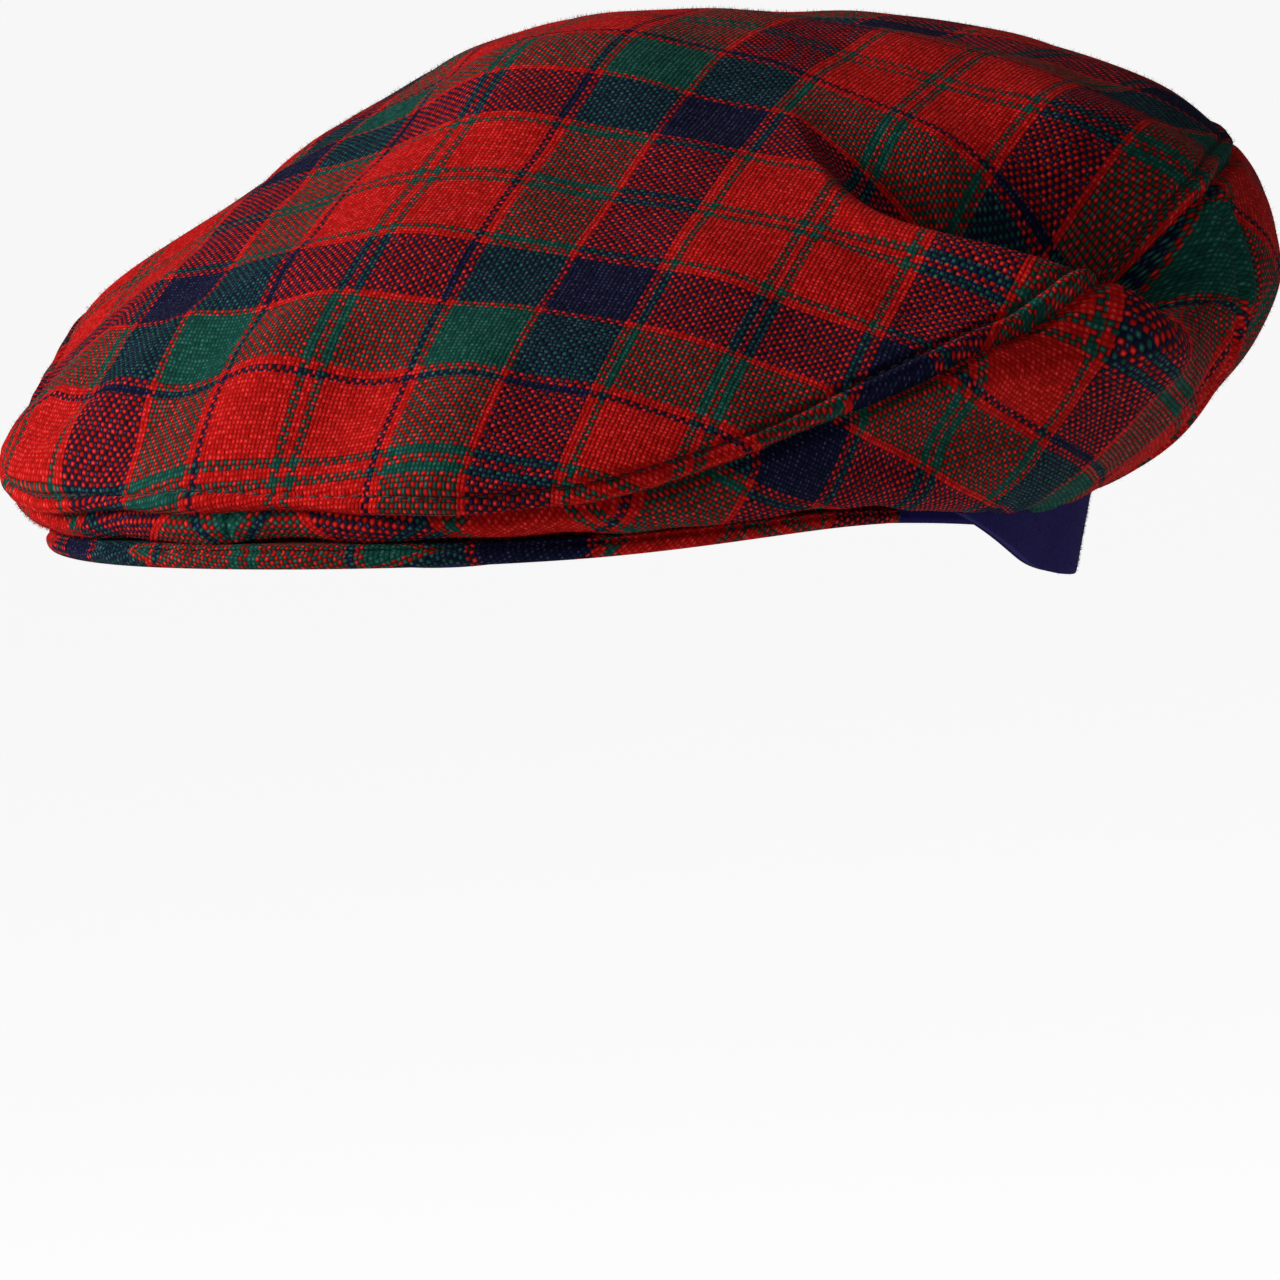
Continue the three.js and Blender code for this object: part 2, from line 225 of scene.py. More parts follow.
@dataclass
class CrownForm:
    """The surface that the top and the wall panels share.

    A place on it is a turn from the front, in degrees, and a run of cloth from the
    middle of the top, in millimetres.
    """

    crown_height: float = 93
    round_share: float = 0.45
    station_step: float = 22.5
    section_samples: int = 160
    turn_step: float = 0.5
    run_samples: int = 1200
    normal_step: float = 0.4
    least_run: float = 1.0
    take_up_width: float = 9.0
    take_up_reach: float = 75.0
    stations: tuple[Station, ...] = STATIONS
    folds: tuple[Fold, ...] = FOLDS
    ripples: tuple[Ripple, ...] = RIPPLES
    turns: Array = field(init=False)
    reaches: Array = field(init=False)
    heights: Array = field(init=False)
    lengths: Array = field(init=False)
    depths: Array = field(init=False)

    def __post_init__(self) -> None:
        """Works out the table of sections round the cap, each resampled by even runs of cloth."""
        self.turns = np.arange(-180, 180 + self.turn_step, self.turn_step)
        reach, height, run, self.depths = self._sections(self.turns)
        self.lengths = run[:, -1]
        wanted = np.linspace(0, 1, self.run_samples + 1)[None, :] * self.lengths[:, None]
        self.reaches = np.array([np.interp(w, r, v) for w, r, v in zip(wanted, run, reach)])
        self.heights = np.array([np.interp(w, r, v) for w, r, v in zip(wanted, run, height)])

    def _values(self, turn: Array) -> dict[str, Array]:
        """Sizes between the stations, on a cubic through each and its neighbours.

        Args:
            turn: Degrees from the front.

        Returns:
            Each size of Station by name, for every turn.
        """
        way = np.abs(wrap(turn)) / self.station_step
        index = np.minimum(way.astype(int), len(self.stations) - 2)
        part = way - index
        values = {}
        for size in fields(Station):
            row = np.array([getattr(station, size.name) for station in self.stations])
            mirrored = np.concatenate([row[1:2], row, row[-2:-1]])
            before, low, high, after = (mirrored[index + k] for k in range(4))
            slope_low = (high - before) / 2
            slope_high = (after - low) / 2
            rise = high - low
            cubic = slope_low + slope_high - 2 * rise
            square = 3 * rise - 2 * slope_low - slope_high
            values[size.name] = low + part * (slope_low + part * (square + part * cubic))
        return values

    def _sections(self, turn: Array) -> tuple[Array, Array, Array, Array]:
        """Sections from the middle of the top over the widest line and in to the rim.

        Above the widest line the height falls as (1 - share^power)^(1/power) of the share
        of the way out; below it the cloth turns in on a squashed quarter circle.

        Args:
            turn: Degrees from the front.

        Returns:
            Reach, height and run of cloth of each sample, and the side's depth at each turn.
        """
        sizes = {name: value[:, None] for name, value in self._values(turn).items()}
        rim_reach = sizes["rim_reach"]
        wide_reach = sizes["wide_reach"]
        wide_height = sizes["wide_height"]
        angle = np.linspace(0, math.pi / 2, self.section_samples + 1)[None, :]
        share = np.sin(angle)
        eased = np.clip(share / self.round_share, 0, 1)
        eased = eased * eased * (3 - 2 * eased)
        power = 2 + (sizes["dome_power"] - 2) * eased
        rise = np.maximum(1 - share**power, 0) ** (1 / power)
        dome_height = wide_height + (self.crown_height - wide_height) * rise
        out = np.maximum(np.cos(angle), 0) ** (2 / sizes["skirt_power"])
        down = share ** (2 / sizes["skirt_power"])
        skirt_reach = rim_reach + (wide_reach - rim_reach) * out
        skirt_height = wide_height - (wide_height - sizes["rim_height"]) * down
        reach = np.concatenate([wide_reach * share, skirt_reach[:, 1:]], axis=1)
        height = np.concatenate([dome_height, skirt_height[:, 1:]], axis=1)
        run = way_along(np.stack([reach, height], axis=-1))
        return reach, height, run, sizes["side_depth"][:, 0]

    def length(self, turn: Array) -> Array:
        """The run of cloth from the middle of the top to the rim, at each turn."""
        return np.interp(wrap(turn), self.turns, self.lengths)

    def seam(self, turn: Array) -> Array:
        """The run of cloth from the middle of the top to the top seam, at each turn."""
        return self.length(turn) - np.interp(wrap(turn), self.turns, self.depths)

    def rim(self, turn: Array) -> tuple[Array, Array]:
        """Reach and height of the rim at each turn."""
        values = self._values(turn)
        return values["rim_reach"], values["rim_height"]

    def smooth(self, turn: Array, run: Array) -> Array:
        """Points of the surface without folds, by straight steps between the table's rows.

        Args:
            turn: Degrees from the front.
            run: Run of cloth from the middle of the top, of the same shape.

        Returns:
            Points, with a last axis of three.
        """
        column = (wrap(turn) + 180) / self.turn_step
        i = np.minimum(column.astype(int), len(self.turns) - 2)
        beside = column - i
        row = np.clip(run / self.length(turn), 0, 1) * self.run_samples
        j = np.minimum(row.astype(int), self.run_samples - 1)
        below = row - j
        picked = []
        for table in (self.reaches, self.heights):
            near = table[i, j] * (1 - beside) + table[i + 1, j] * beside
            far = table[i, j + 1] * (1 - beside) + table[i + 1, j + 1] * beside
            picked.append(near * (1 - below) + far * below)
        return place(turn, *picked)

    def normal(self, turn: Array, run: Array) -> Array:
        """Outward normals of the smooth surface, from a short step each way.

        Args:
            turn: Degrees from the front.
            run: Run of cloth from the middle of the top.

        Returns:
            Unit normals, with a last axis of three.
        """
        step = self.normal_step
        low = self.smooth(turn, np.maximum(run - step, step / 2))
        high = self.smooth(turn, np.minimum(run + step, self.length(turn)))
        wide = np.maximum(run, self.least_run)
        round_it = self.smooth(turn + 2 * step, wide) - self.smooth(turn - 2 * step, wide)
        middle = (run < self.least_run)[..., None]
        return np.where(middle, np.array([0.0, 0.0, 1.0]), unit(np.cross(high - low, round_it)))

    def flat(self, turn: Array, run: Array) -> tuple[Array, Array]:
        """Where the cloth lies when flat: across to the wearer's left, and ahead to the peak."""
        angle = np.radians(turn)
        return run * np.sin(angle), run * np.cos(angle)

    def taken_up(self, across: Array, ahead: Array) -> Array:
        """How far through the deepest fold's spare cloth a place is, from 0 in front to 1 behind.

        It rises as a hyperbolic tangent across the fold, and a wide half bell brings it
        back to nothing far behind.

        Args:
            across: Millimetres to the wearer's left.
            ahead: Millimetres to the peak.

        Returns:
            Shares of the spare cloth.
        """
        aside, swell = self.folds[0].place(across, ahead)
        through = (1 + np.tanh(aside / self.take_up_width)) / 2
        return swell * through * bell(np.maximum(aside, 0), self.take_up_reach)

    def cloth(self, turn: Array, run: Array, extra: Array) -> Array:
        """Points of the folded cloth: the smooth ones, lifted along their normals.

        Args:
            turn: Degrees from the front.
            run: Run of cloth from the middle of the top.
            extra: Further lift along the normal, such as a seam's.

        Returns:
            Points, with a last axis of three.
        """
        flat = self.flat(turn, run)
        lift = extra + sum(part.lift(*flat) for part in (*self.folds, *self.ripples))
        return self.smooth(turn, run) + self.normal(turn, run) * lift[..., None]


@dataclass(frozen=True)
class SeamForm:
    """Cross-section of a topstitched seam: a groove, a raised welt and the stitch line."""

    welt_width: float = 4.3
    welt_lift: float = 0.8
    groove_reach: float = 1.3
    groove_depth: float = 1.9
    welt_share: float = 0.8
    stitch_reach: float = 0.6
    stitch_depth: float = 1.1

    def plain(self, away: Array) -> Array:
        """The side without a welt: a bell-shaped groove."""
        return -self.groove_depth * bell(away, self.groove_reach)

    def welted(self, away: Array) -> Array:
        """The side with the welt: the groove, a bell for the welt and a thin bell for the stitches.

        Args:
            away: Millimetres from the seam.

        Returns:
            The lift there, in millimetres.
        """
        half = self.welt_width / 2
        welt = self.welt_lift * bell(away - half, half * self.welt_share)
        stitches = self.stitch_depth * bell(away - self.welt_width, self.stitch_reach)
        return self.plain(away) + welt - stitches


# ---- Meshes ----


def link(obj: Object) -> Object:
    """Puts an object into the scene and returns it."""
    bpy.context.scene.collection.objects.link(obj)
    return obj


def make_object(
    name: str, points: Array, corners: Array, totals: Array, cloth: Array | None = None
) -> Object:
    """Makes a smooth mesh and puts it into the scene.

    Args:
        name: The piece's name.
        points: Points in millimetres, count by three.
        corners: Point numbers, face after face.
        totals: How many corners each face has.
        cloth: Each point's place on the cloth, in yarns.

    Returns:
        The new object.
    """
    mesh = bpy.data.meshes.new(name)
    mesh.vertices.add(len(points))
    mesh.vertices.foreach_set("co", (points * METRES).astype(np.float32).ravel())
    mesh.loops.add(len(corners))
    mesh.loops.foreach_set("vertex_index", corners.astype(np.int32))
    mesh.polygons.add(len(totals))
    mesh.polygons.foreach_set("loop_start", (np.cumsum(totals) - totals).astype(np.int32))
    mesh.polygons.foreach_set("loop_total", totals.astype(np.int32))
    mesh.polygons.foreach_set("use_smooth", np.ones(len(totals), dtype=bool))
    if cloth is not None:
        layer = mesh.uv_layers.new(name=CLOTH_MAP)
        layer.data.foreach_set("uv", cloth[corners].astype(np.float32).ravel())
    mesh.update(calc_edges=True)
    mesh.validate()
    return link(bpy.data.objects.new(name, mesh))


@dataclass
class GridPiece:
    """A closed piece made of columns of points that each run once round its wall.

    loops has the shape (columns, points in a loop, 3), in millimetres, and cloth the
    matching places on the cloth, in yarns. The columns of a dome start and end at its
    middle and go all the way round; those of a strip have an end on each side.
    """

    name: str
    loops: Array
    cloth: Array
    dome: bool = False

    def build(self) -> Object:
        """Makes the mesh: quads between columns, with fans in the middle of a dome.

        Returns:
            The new object.
        """
        columns, around = self.loops.shape[:2]
        index = np.arange(columns * around).reshape(columns, around)
        if self.dome:
            index[:, 0] = index[0, 0]
            index[:, -1] = index[0, -1]
            beside = np.roll(index, -1, axis=0)
            corners = [index[:, :-1], index[:, 1:], beside[:, 1:], beside[:, :-1]]
        else:
            after = np.roll(index, -1, axis=1)
            corners = [index[:-1], after[:-1], after[1:], index[1:]]
        quads = np.stack(corners, axis=-1).reshape(-1, 4)
        if not self.dome:
            quads = np.concatenate([quads, self._caps(index)])
        used, quads = np.unique(quads, return_inverse=True)
        quads = quads.reshape(-1, 4)
        keep = quads != np.roll(quads, -1, axis=1)
        points = self.loops.reshape(-1, 3)[used]
        places = self.cloth.reshape(-1, 2)[used]
        return make_object(self.name, points, quads[keep], keep.sum(axis=1), places)

    def _caps(self, index: Array) -> Array:
        """Quads over both ends of a strip, each joining a point to the one across the wall.

        Args:
            index: Point numbers, columns by points in a loop.

        Returns:
            Point numbers, quads by four.
        """
        around = index.shape[1]
        low = np.arange(around // 2 - 1)
        high = around - 1 - low
        first, last = index[0], index[-1]
        start = np.stack([first[low], first[high], first[high - 1], first[low + 1]], axis=-1)
        end = np.stack([last[low], last[low + 1], last[high - 1], last[high]], axis=-1)
        return np.concatenate([start, end])


def grid_normals(grid: Array, ring: bool) -> Array:
    """Outward normals of a grid of points, from the steps to its neighbours.

    Args:
        grid: Points, columns by rows by three, each column running down the outside.
        ring: Whether the last column is beside the first.

    Returns:
        Unit normals of the same shape.
    """
    if ring:
        round_it = np.roll(grid, -1, axis=0) - np.roll(grid, 1, axis=0)
    else:
        round_it = np.gradient(grid, axis=0)
    return unit(np.cross(np.gradient(grid, axis=1), round_it))


def rounded_edge(outer: Array, inner: Array, ahead: Array, steps: int) -> Array:
    """A half-round edge from the outer face's last row to the inner face's.

    Each point is the middle, plus the half thickness turned by an angle towards ahead.

    Args:
        outer: The outer face's last points, columns by three.
        inner: The inner face's last points.
        ahead: Unit directions in which the edge bulges.
        steps: Points in the edge.

    Returns:
        Points, columns by steps by three.
    """
    middle = ((outer + inner) / 2)[:, None, :]
    half = ((outer - inner) / 2)[:, None, :]
    size = np.linalg.norm(half, axis=-1, keepdims=True)
    angle = np.linspace(0, math.pi, steps + 2)[1:-1][None, :, None]
    return middle + half * np.cos(angle) + ahead[:, None, :] * size * np.sin(angle)


# ---- Where the tartan lies on each panel ----


@dataclass(frozen=True)
class YarnCount:
    """How one family of yarns counts up over a panel, as a cubic in hundreds of millimetres.

    Each size is the yarns added by that power of x and y, the ways along the panel's
    two directions.
    """

    start: float
    x: float
    y: float
    xx: float
    xy: float
    yy: float
    xxx: float
    xxy: float
    xyy: float
    yyy: float

    def yarns(self, x: Array, y: Array) -> Array:
        """The sum of all ten powers' yarns.

        Args:
            x: The way along the first direction, in hundreds of millimetres.
            y: The way along the second.

        Returns:
            Yarns counted up to there.
        """
        plain = self.start + self.x * x + self.y * y
        square = self.xx * x * x + self.xy * x * y + self.yy * y * y
        cube = (self.xxx * x + self.xxy * y) * x * x + (self.xyy * x + self.yyy * y) * y * y
        return plain + square + cube


@dataclass(frozen=True)
class TopLay:
    """How the checks lie on the top.

    The cross stripes sweep back towards the sides, and the stripes that run to the
    peak draw together towards the back, where the cloth is gathered over the crown.
    Past the given limits both families go on evenly.
    """

    sideways: YarnCount = YarnCount(10, 120, -1, 9, -18, -8, -6, -4, 11, 0)
    backwards: YarnCount = YarnCount(193, -30, -153, -36, 51, 31, 18, 1, -25, -5)
    crease_yarns: float = 17.0
    low: tuple[float, float] = (-70.0, -30.0)
    high: tuple[float, float] = (112.0, 168.0)
    even: float = 112.0
    hundred: float = 100.0

    def yarns(self, across: Array, ahead: Array, taken: Array) -> Array:
        """Places on the cloth, in yarns, from places on the flat map.

        Args:
            across: Millimetres to the wearer's left.
            ahead: Millimetres to the peak.
            taken: How far through the deep crease's spare cloth each place is, from 0 to 1.

        Returns:
            Yarns across and yarns back, with a last axis of two.
        """
        x = np.clip(across, self.low[0], self.high[0])
        y = np.clip(ahead, self.low[1], self.high[1])
        sideways = self.sideways.yarns(x / self.hundred, y / self.hundred)
        backwards = self.backwards.yarns(x / self.hundred, y / self.hundred)
        sideways = sideways + (across - x) * self.even / self.hundred
        backwards = backwards - (ahead - y) * self.even / self.hundred
        return np.stack([sideways, backwards + self.crease_yarns * taken], axis=-1)


@dataclass(frozen=True)
class PanelLay:
    """How the checks lie on a panel below the top seam: flat cloth, cut as a bent strip.

    The strip's lower edge turns in the flat cloth by powers of the way round the rim.
    Up from the rim the cloth runs straight, square to that edge.
    """

    start: tuple[float, float]
    angle: float
    middle_turn: float
    way: float = 1.0
    bends: tuple[float, ...] = ()
    yarn: float = 0.88
    hundred: float = 100.0
    span: tuple[float, float] = (-180.0, 360.0)
    samples: int = 2161

    def yarns(self, form: CrownForm, turn: Array, height: Array) -> Array:
        """Places on the cloth, in yarns.

        Args:
            form: The cap's form, for the way round its rim.
            turn: Degrees from the front.
            height: Millimetres of cloth above the rim.

        Returns:
            Yarns in both directions, with a last axis of two.
        """
        turns = np.linspace(*self.span, self.samples)
        arc = way_along(place(turns, *form.rim(turns)))
        arc = self.way * (arc - np.interp(self.middle_turn, turns, arc))
        heading = np.full_like(arc, math.radians(self.angle))
        for power, bend in enumerate(self.bends, start=1):
            heading += bend * (arc / self.hundred) ** power
        east = np.cos(heading)
        north = np.sin(heading)
        places = []
        for start, course, rise in zip(self.start, (east, north), (-north, east)):
            edge = np.cumsum(course * np.gradient(arc))
            edge = edge - np.interp(self.middle_turn, turns, edge)
            way = np.interp(turn, turns, edge) + height * np.interp(turn, turns, rise)
            places.append(start + way / self.yarn)
        return np.stack(places, axis=-1)


SIDE_BENDS = (0.04, 1.0, -0.17, -0.53)
LEFT_LAY = PanelLay((70, 54), 196, 60, bends=SIDE_BENDS)
RIGHT_LAY = PanelLay((70, 54), 196, -60, way=-1.0, bends=SIDE_BENDS)
BACK_LAY = PanelLay((30, 10), 45, 180)


# ---- Finishes ----


@dataclass(frozen=True)
class Stripe:
    """One stripe of the sett: its colour's name and its width in yarns."""

    colour: str
    yarns: int


SETT = (
    Stripe("red", 1),
    Stripe("green", 2),
    Stripe("red", 18),
    Stripe("navy", 2),
    Stripe("red", 2),
    Stripe("green", 18),
    Stripe("red", 2),
    Stripe("navy", 18),
    Stripe("red", 2),
    Stripe("green", 2),
    Stripe("red", 18),
    Stripe("green", 2),
    Stripe("red", 1),
)
HALF_SETT = sum(stripe.yarns for stripe in SETT)  # yarns from one pivot stripe to the next


@dataclass(frozen=True)
class NodeKit:
    """Short ways to add and join nodes in one tree."""

    tree: bpy.types.NodeTree

    def add(self, kind: str, inputs: dict[str | int, object], **settings: object) -> Node:
        """Adds a node.

        Args:
            kind: The node's type.
            inputs: A socket to join, or a value to set, by the input's name or number.
            settings: The node's own properties.

        Returns:
            The node.
        """
        node = self.tree.nodes.new(kind)
        for name, value in settings.items():
            setattr(node, name, value)
        self.feed(node, inputs)
        return node

    def feed(self, node: Node, inputs: dict[str | int, object]) -> None:
        """Joins or sets a node's inputs.

        Args:
            node: The node.
            inputs: A socket to join, or a value to set, by the input's name or number.
        """
        for key, value in inputs.items():
            if isinstance(value, Socket):
                self.tree.links.new(value, node.inputs[key])
            else:
                node.inputs[key].default_value = value

    def math(self, operation: str, *values: object) -> Socket:
        """The result of a Math node with these inputs."""
        return self.add("ShaderNodeMath", dict(enumerate(values)), operation=operation).outputs[0]

    def mix(self, factor: object, low: object, high: object, blend: str = "MIX") -> Socket:
        """The result of a colour Mix node, whose colour sockets are inputs 6 and 7 and output 2."""
        inputs = {0: factor, 6: low, 7: high}
        return self.add("ShaderNodeMix", inputs, data_type="RGBA", blend_type=blend).outputs[2]

    def ramp(self, value: object, low: float, high: float) -> Socket:
        """A smooth rise from 0 at low to 1 at high."""
        inputs = {"Value": value, "From Min": low, "From Max": high}
        return self.add("ShaderNodeMapRange", inputs, interpolation_type="SMOOTHSTEP").outputs[0]

    def spread(self, value: object, low: float, high: float) -> Socket:
        """Brings a value from 0..1 to low..high."""
        inputs = {"Value": value, "To Min": low, "To Max": high}
        return self.add("ShaderNodeMapRange", inputs).outputs[0]

    def noise(self, vector: Socket, scale: float, detail: float) -> Socket:
        """The value of a Noise node at that place."""
        inputs = {"Vector": vector, "Scale": scale, "Detail": detail}
        return self.add("ShaderNodeTexNoise", inputs).outputs[0]


def new_material(name: str) -> tuple[Material, NodeKit, Node]:
    """A node material with only its output and a Principled shader.

    Args:
        name: The material's name.

    Returns:
        The material, a kit for its tree and the shader node.
    """
    material = bpy.data.materials.new(name)
    material.use_nodes = True
    kit = NodeKit(material.node_tree)
    material.node_tree.nodes.clear()
    shader = kit.add("ShaderNodeBsdfPrincipled", {})
    kit.add("ShaderNodeOutputMaterial", {"Surface": shader.outputs[0]})
    return material, kit, shader


@dataclass(frozen=True)
class SoftFace:
    """How wool or felt takes light: its relief, the sheen of its hairs and its faint shine."""

    bump: float
    relief: float
    sheen: float
    sheen_roughness: float
    sheen_tint: Colour
    shine: float = 0.03

    def apply(self, kit: NodeKit, shader: Node, height: Socket) -> None:
        """Sets the shader's relief, sheen and shine.

        Args:
            kit: The material's kit.
            shader: The material's shader.
            height: The surface's height, from 0 to 1 of the relief in metres.
        """
        inputs = {"Strength": self.bump, "Distance": self.relief, "Height": height}
        values = {
            "Normal": kit.add("ShaderNodeBump", inputs).outputs[0],
            "Sheen Weight": self.sheen,
            "Sheen Roughness": self.sheen_roughness,
            "Sheen Tint": self.sheen_tint,
            "Specular IOR Level": self.shine,
        }
        kit.feed(shader, values)


@dataclass(frozen=True)
class Mottle:
    """Soft unevenness of a shade: noise of one scale, spread between two factors."""

    scale: float
    detail: float
    low: float
    high: float

    def build(self, kit: NodeKit, where: Socket) -> Socket:
        """The factor at a place."""
        return kit.spread(kit.noise(where, self.scale, self.detail), self.low, self.high)


@dataclass(frozen=True)
class PlainWeave:
    """A plain weave: every yarn goes over one and under one, a step aside each row."""

    repeat: float = 2.0
    over: float = 1.0
    uneven: float = 0.75
    uneven_scale: float = 0.36
    crown: float = 0.8

    def build(self) -> bpy.types.NodeTree:
        """Makes the group: which yarn is on top, how high it stands, and a tone for each dot.

        The surface is cut into square cells, one yarn each way. The yarn along the back
        direction is on top where (column - row) modulo 2 is under 1. A yarn's height is a
        half sine across it, times a wider half sine along the cell.

        Returns:
            The group, with a place in yarns as its input.
        """
        group = bpy.data.node_groups.new("plain_weave", "ShaderNodeTree")
        group.interface.new_socket("Yarns", in_out="INPUT", socket_type="NodeSocketVector")
        for name in ("Warp", "Height", "Tone"):
            group.interface.new_socket(name, in_out="OUTPUT", socket_type="NodeSocketFloat")
        kit = NodeKit(group)
        yarns = self._wander(kit, kit.add("NodeGroupInput", {}).outputs["Yarns"])
        parts = kit.add("ShaderNodeSeparateXYZ", {0: yarns}).outputs
        across, back = parts[0], parts[1]
        column = kit.math("FLOOR", across)
        row = kit.math("FLOOR", back)
        phase = kit.math("FLOORED_MODULO", kit.math("SUBTRACT", column, row), self.repeat)
        warp = kit.math("LESS_THAN", phase, self.over)
        weft_height = self._yarn_height(kit, back, across)
        warp_height = self._yarn_height(kit, across, back)
        picked = {0: warp, 2: weft_height, 3: warp_height}
        cell = kit.add("ShaderNodeCombineXYZ", {0: column, 1: row}).outputs[0]
        height = kit.add("ShaderNodeMix", picked, data_type="FLOAT").outputs[0]
        tone = kit.add("ShaderNodeTexWhiteNoise", {"Vector": cell}, noise_dimensions="2D").outputs[0]
        kit.add("NodeGroupOutput", {"Warp": warp, "Height": height, "Tone": tone})
        return group

    def _wander(self, kit: NodeKit, yarns: Socket) -> Socket:
        """Moves each place a little by smooth noise, so that the yarns aren't ruled lines.

        Args:
            kit: The group's kit.
            yarns: A place in yarns.

        Returns:
            The moved place: the noise less a half, times the unevenness, is added.
        """
        noise = {"Vector": yarns, "Scale": self.uneven_scale}
        wobble = kit.add("ShaderNodeTexNoise", noise).outputs["Color"]
        centre = {0: wobble, 1: (0.5, 0.5, 0.5)}
        centred = kit.add("ShaderNodeVectorMath", centre, operation="SUBTRACT").outputs[0]
        shift = {0: centred, 1: (self.uneven, self.uneven, 0), 2: yarns}
        return kit.add("ShaderNodeVectorMath", shift, operation="MULTIPLY_ADD").outputs[0]

    def _yarn_height(self, kit: NodeKit, over: Socket, along: Socket) -> Socket:
        """A half sine over the yarn's width, times a wider one along the cell."""
        return kit.math("MULTIPLY", self._arch(kit, over, 1.0), self._arch(kit, along, self.crown))

    def _arch(self, kit: NodeKit, where: Socket, width: float) -> Socket:
        """The middle part, of that width, of a half sine over each cell."""
        within = kit.math("MULTIPLY_ADD", kit.math("FRACT", where), width, (1 - width) / 2)
        return kit.math("SINE", kit.math("MULTIPLY", within, math.pi))


@dataclass(frozen=True)
class TartanColours:
    """The dyed wool's colours, as linear red, green and blue."""

    red: Colour = (0.56, 0.008, 0.006, 1)
    green: Colour = (0.006, 0.072, 0.052, 1)
    navy: Colour = (0.006, 0.008, 0.034, 1)

    def ramp(self, kit: NodeKit, where: Socket) -> Socket:
        """The stripe colour at a place in yarns, turning back at each pivot.

        Args:
            kit: The tree to add to.
            where: Yarns along one direction.

        Returns:
            The colour there.
        """
        folded = kit.math("PINGPONG", where, float(HALF_SETT))
        share = kit.math("DIVIDE", folded, float(HALF_SETT))
        node = kit.add("ShaderNodeValToRGB", {0: share})
        node.color_ramp.interpolation = "CONSTANT"
        stops = node.color_ramp.elements
        stops.remove(stops[1])
        start = 0
        for stripe in SETT:
            stop = stops.new(start / HALF_SETT) if start else stops[0]
            stop.color = getattr(self, stripe.colour)
            start += stripe.yarns
        return node.outputs[0]


@dataclass(frozen=True)
class TartanWool:
    """Wool cloth in a traditional red, green and navy check."""

    colours: TartanColours = TartanColours()
    weave: PlainWeave = PlainWeave()
    # painted shade between the yarns: the gaps are darkened and take mostly the darker of both yarns'
    # colours; the crown range is where the top yarn's own colour takes over
    gap_shade: float = 0.55
    gap_shade_blend: float = 0.22
    crown: tuple[float, float] = (0.1, 0.66)
    # painted highlight: pale glints mixed into the colour on the crowns of a random share of the
    # yarns
    painted_glint_rise: tuple[float, float] = (0.7, 1.0)
    painted_glint_rarity: float = 2.0
    painted_glint: float = 0.13
    painted_glint_colour: Colour = (0.46, 0.4, 0.46, 1)
    tones: tuple[float, float] = (0.74, 1.3)
    patches: Mottle = Mottle(0.06, 3.0, 0.86, 1.12)
    flecks: Mottle = Mottle(1.3, 2.0, 0.7, 1.3)
    roughness: tuple[float, float] = (0.94, 0.78)
    face: SoftFace = SoftFace(0.55, 0.0004, 0.012, 0.5, (1.0, 0.72, 0.68, 1))

    def build(self) -> Material:
        """Makes the material: stripe colours picked by the weave, with painted shade between the
        yarns and a painted highlight on their crowns.

        Returns:
            The material.
        """
        material, kit, shader = new_material(WOOL_SLOT)
        yarns = kit.add("ShaderNodeUVMap", {}, uv_map=CLOTH_MAP).outputs[0]
        weave = kit.add("ShaderNodeGroup", {"Yarns": yarns}, node_tree=self.weave.build())
        height = weave.outputs["Height"]
        tone = weave.outputs["Tone"]
        parts = kit.add("ShaderNodeSeparateXYZ", {0: yarns}).outputs
        warp = self.colours.ramp(kit, parts[0])
        weft = self.colours.ramp(kit, parts[1])
        top = kit.mix(weave.outputs["Warp"], weft, warp)
        # painted shade in the gaps: mostly the darker of both yarns' colours, a little towards their
        # average
        gap = kit.mix(self.gap_shade_blend, kit.mix(1.0, warp, weft, "DARKEN"), kit.mix(0.5, warp, weft))
        colour = kit.mix(kit.ramp(height, *self.crown), gap, top)
        # painted highlight: a pale glint on the crowns of a random share of the yarns
        painted_glint = kit.math("MULTIPLY", kit.math("POWER", tone, self.painted_glint_rarity), self.painted_glint)
        painted_glint = kit.math("MULTIPLY", painted_glint, kit.ramp(height, *self.painted_glint_rise))
        colour = kit.mix(painted_glint, colour, self.painted_glint_colour)
        # painted shade, darker between the yarns, times random tones, flecks and patches of the wool
        shade = kit.spread(height, self.gap_shade, 1.0)
        shade = kit.math("MULTIPLY", shade, kit.spread(tone, *self.tones))
        for mottle in (self.flecks, self.patches):
            shade = kit.math("MULTIPLY", shade, mottle.build(kit, yarns))
        scaled = kit.add("ShaderNodeVectorMath", {0: colour, "Scale": shade}, operation="SCALE")
        rough = kit.spread(height, *self.roughness)
        kit.feed(shader, {"Base Color": scaled.outputs[0], "Roughness": rough})
        self.face.apply(kit, shader, height)
        return material


@dataclass(frozen=True)
class NavyFelt:
    """Dense, slightly hairy navy felt."""

    dark: Colour = (0.004, 0.003, 0.022, 1)
    light: Colour = (0.022, 0.016, 0.150, 1)
    fibre_scale: float = 1800.0
    fibre_detail: float = 4.0
    cloud_scale: float = 160.0
    cloud_detail: float = 3.0
    cloud_share: float = 0.5
    roughness: tuple[float, float] = (0.85, 1.0)
    face: SoftFace = SoftFace(0.6, 0.0005, 0.06, 0.6, (0.45, 0.4, 1.0, 1))

    def build(self) -> Material:
        """Makes the material: fine fibre noise over soft clouds, in colour and in bump.

        Returns:
            The material.
        """
        material, kit, shader = new_material(FELT_SLOT)
        where = kit.add("ShaderNodeTexCoord", {}).outputs["Object"]
        fibre = kit.noise(where, self.fibre_scale, self.fibre_detail)
        cloud = kit.noise(where, self.cloud_scale, self.cloud_detail)
        fine = kit.math("MULTIPLY", fibre, 1 - self.cloud_share)
        both = kit.math("MULTIPLY_ADD", cloud, self.cloud_share, fine)
        colour = kit.mix(both, self.dark, self.light)
        kit.feed(shader, {"Base Color": colour, "Roughness": kit.spread(fibre, *self.roughness)})
        self.face.apply(kit, shader, both)
        return material


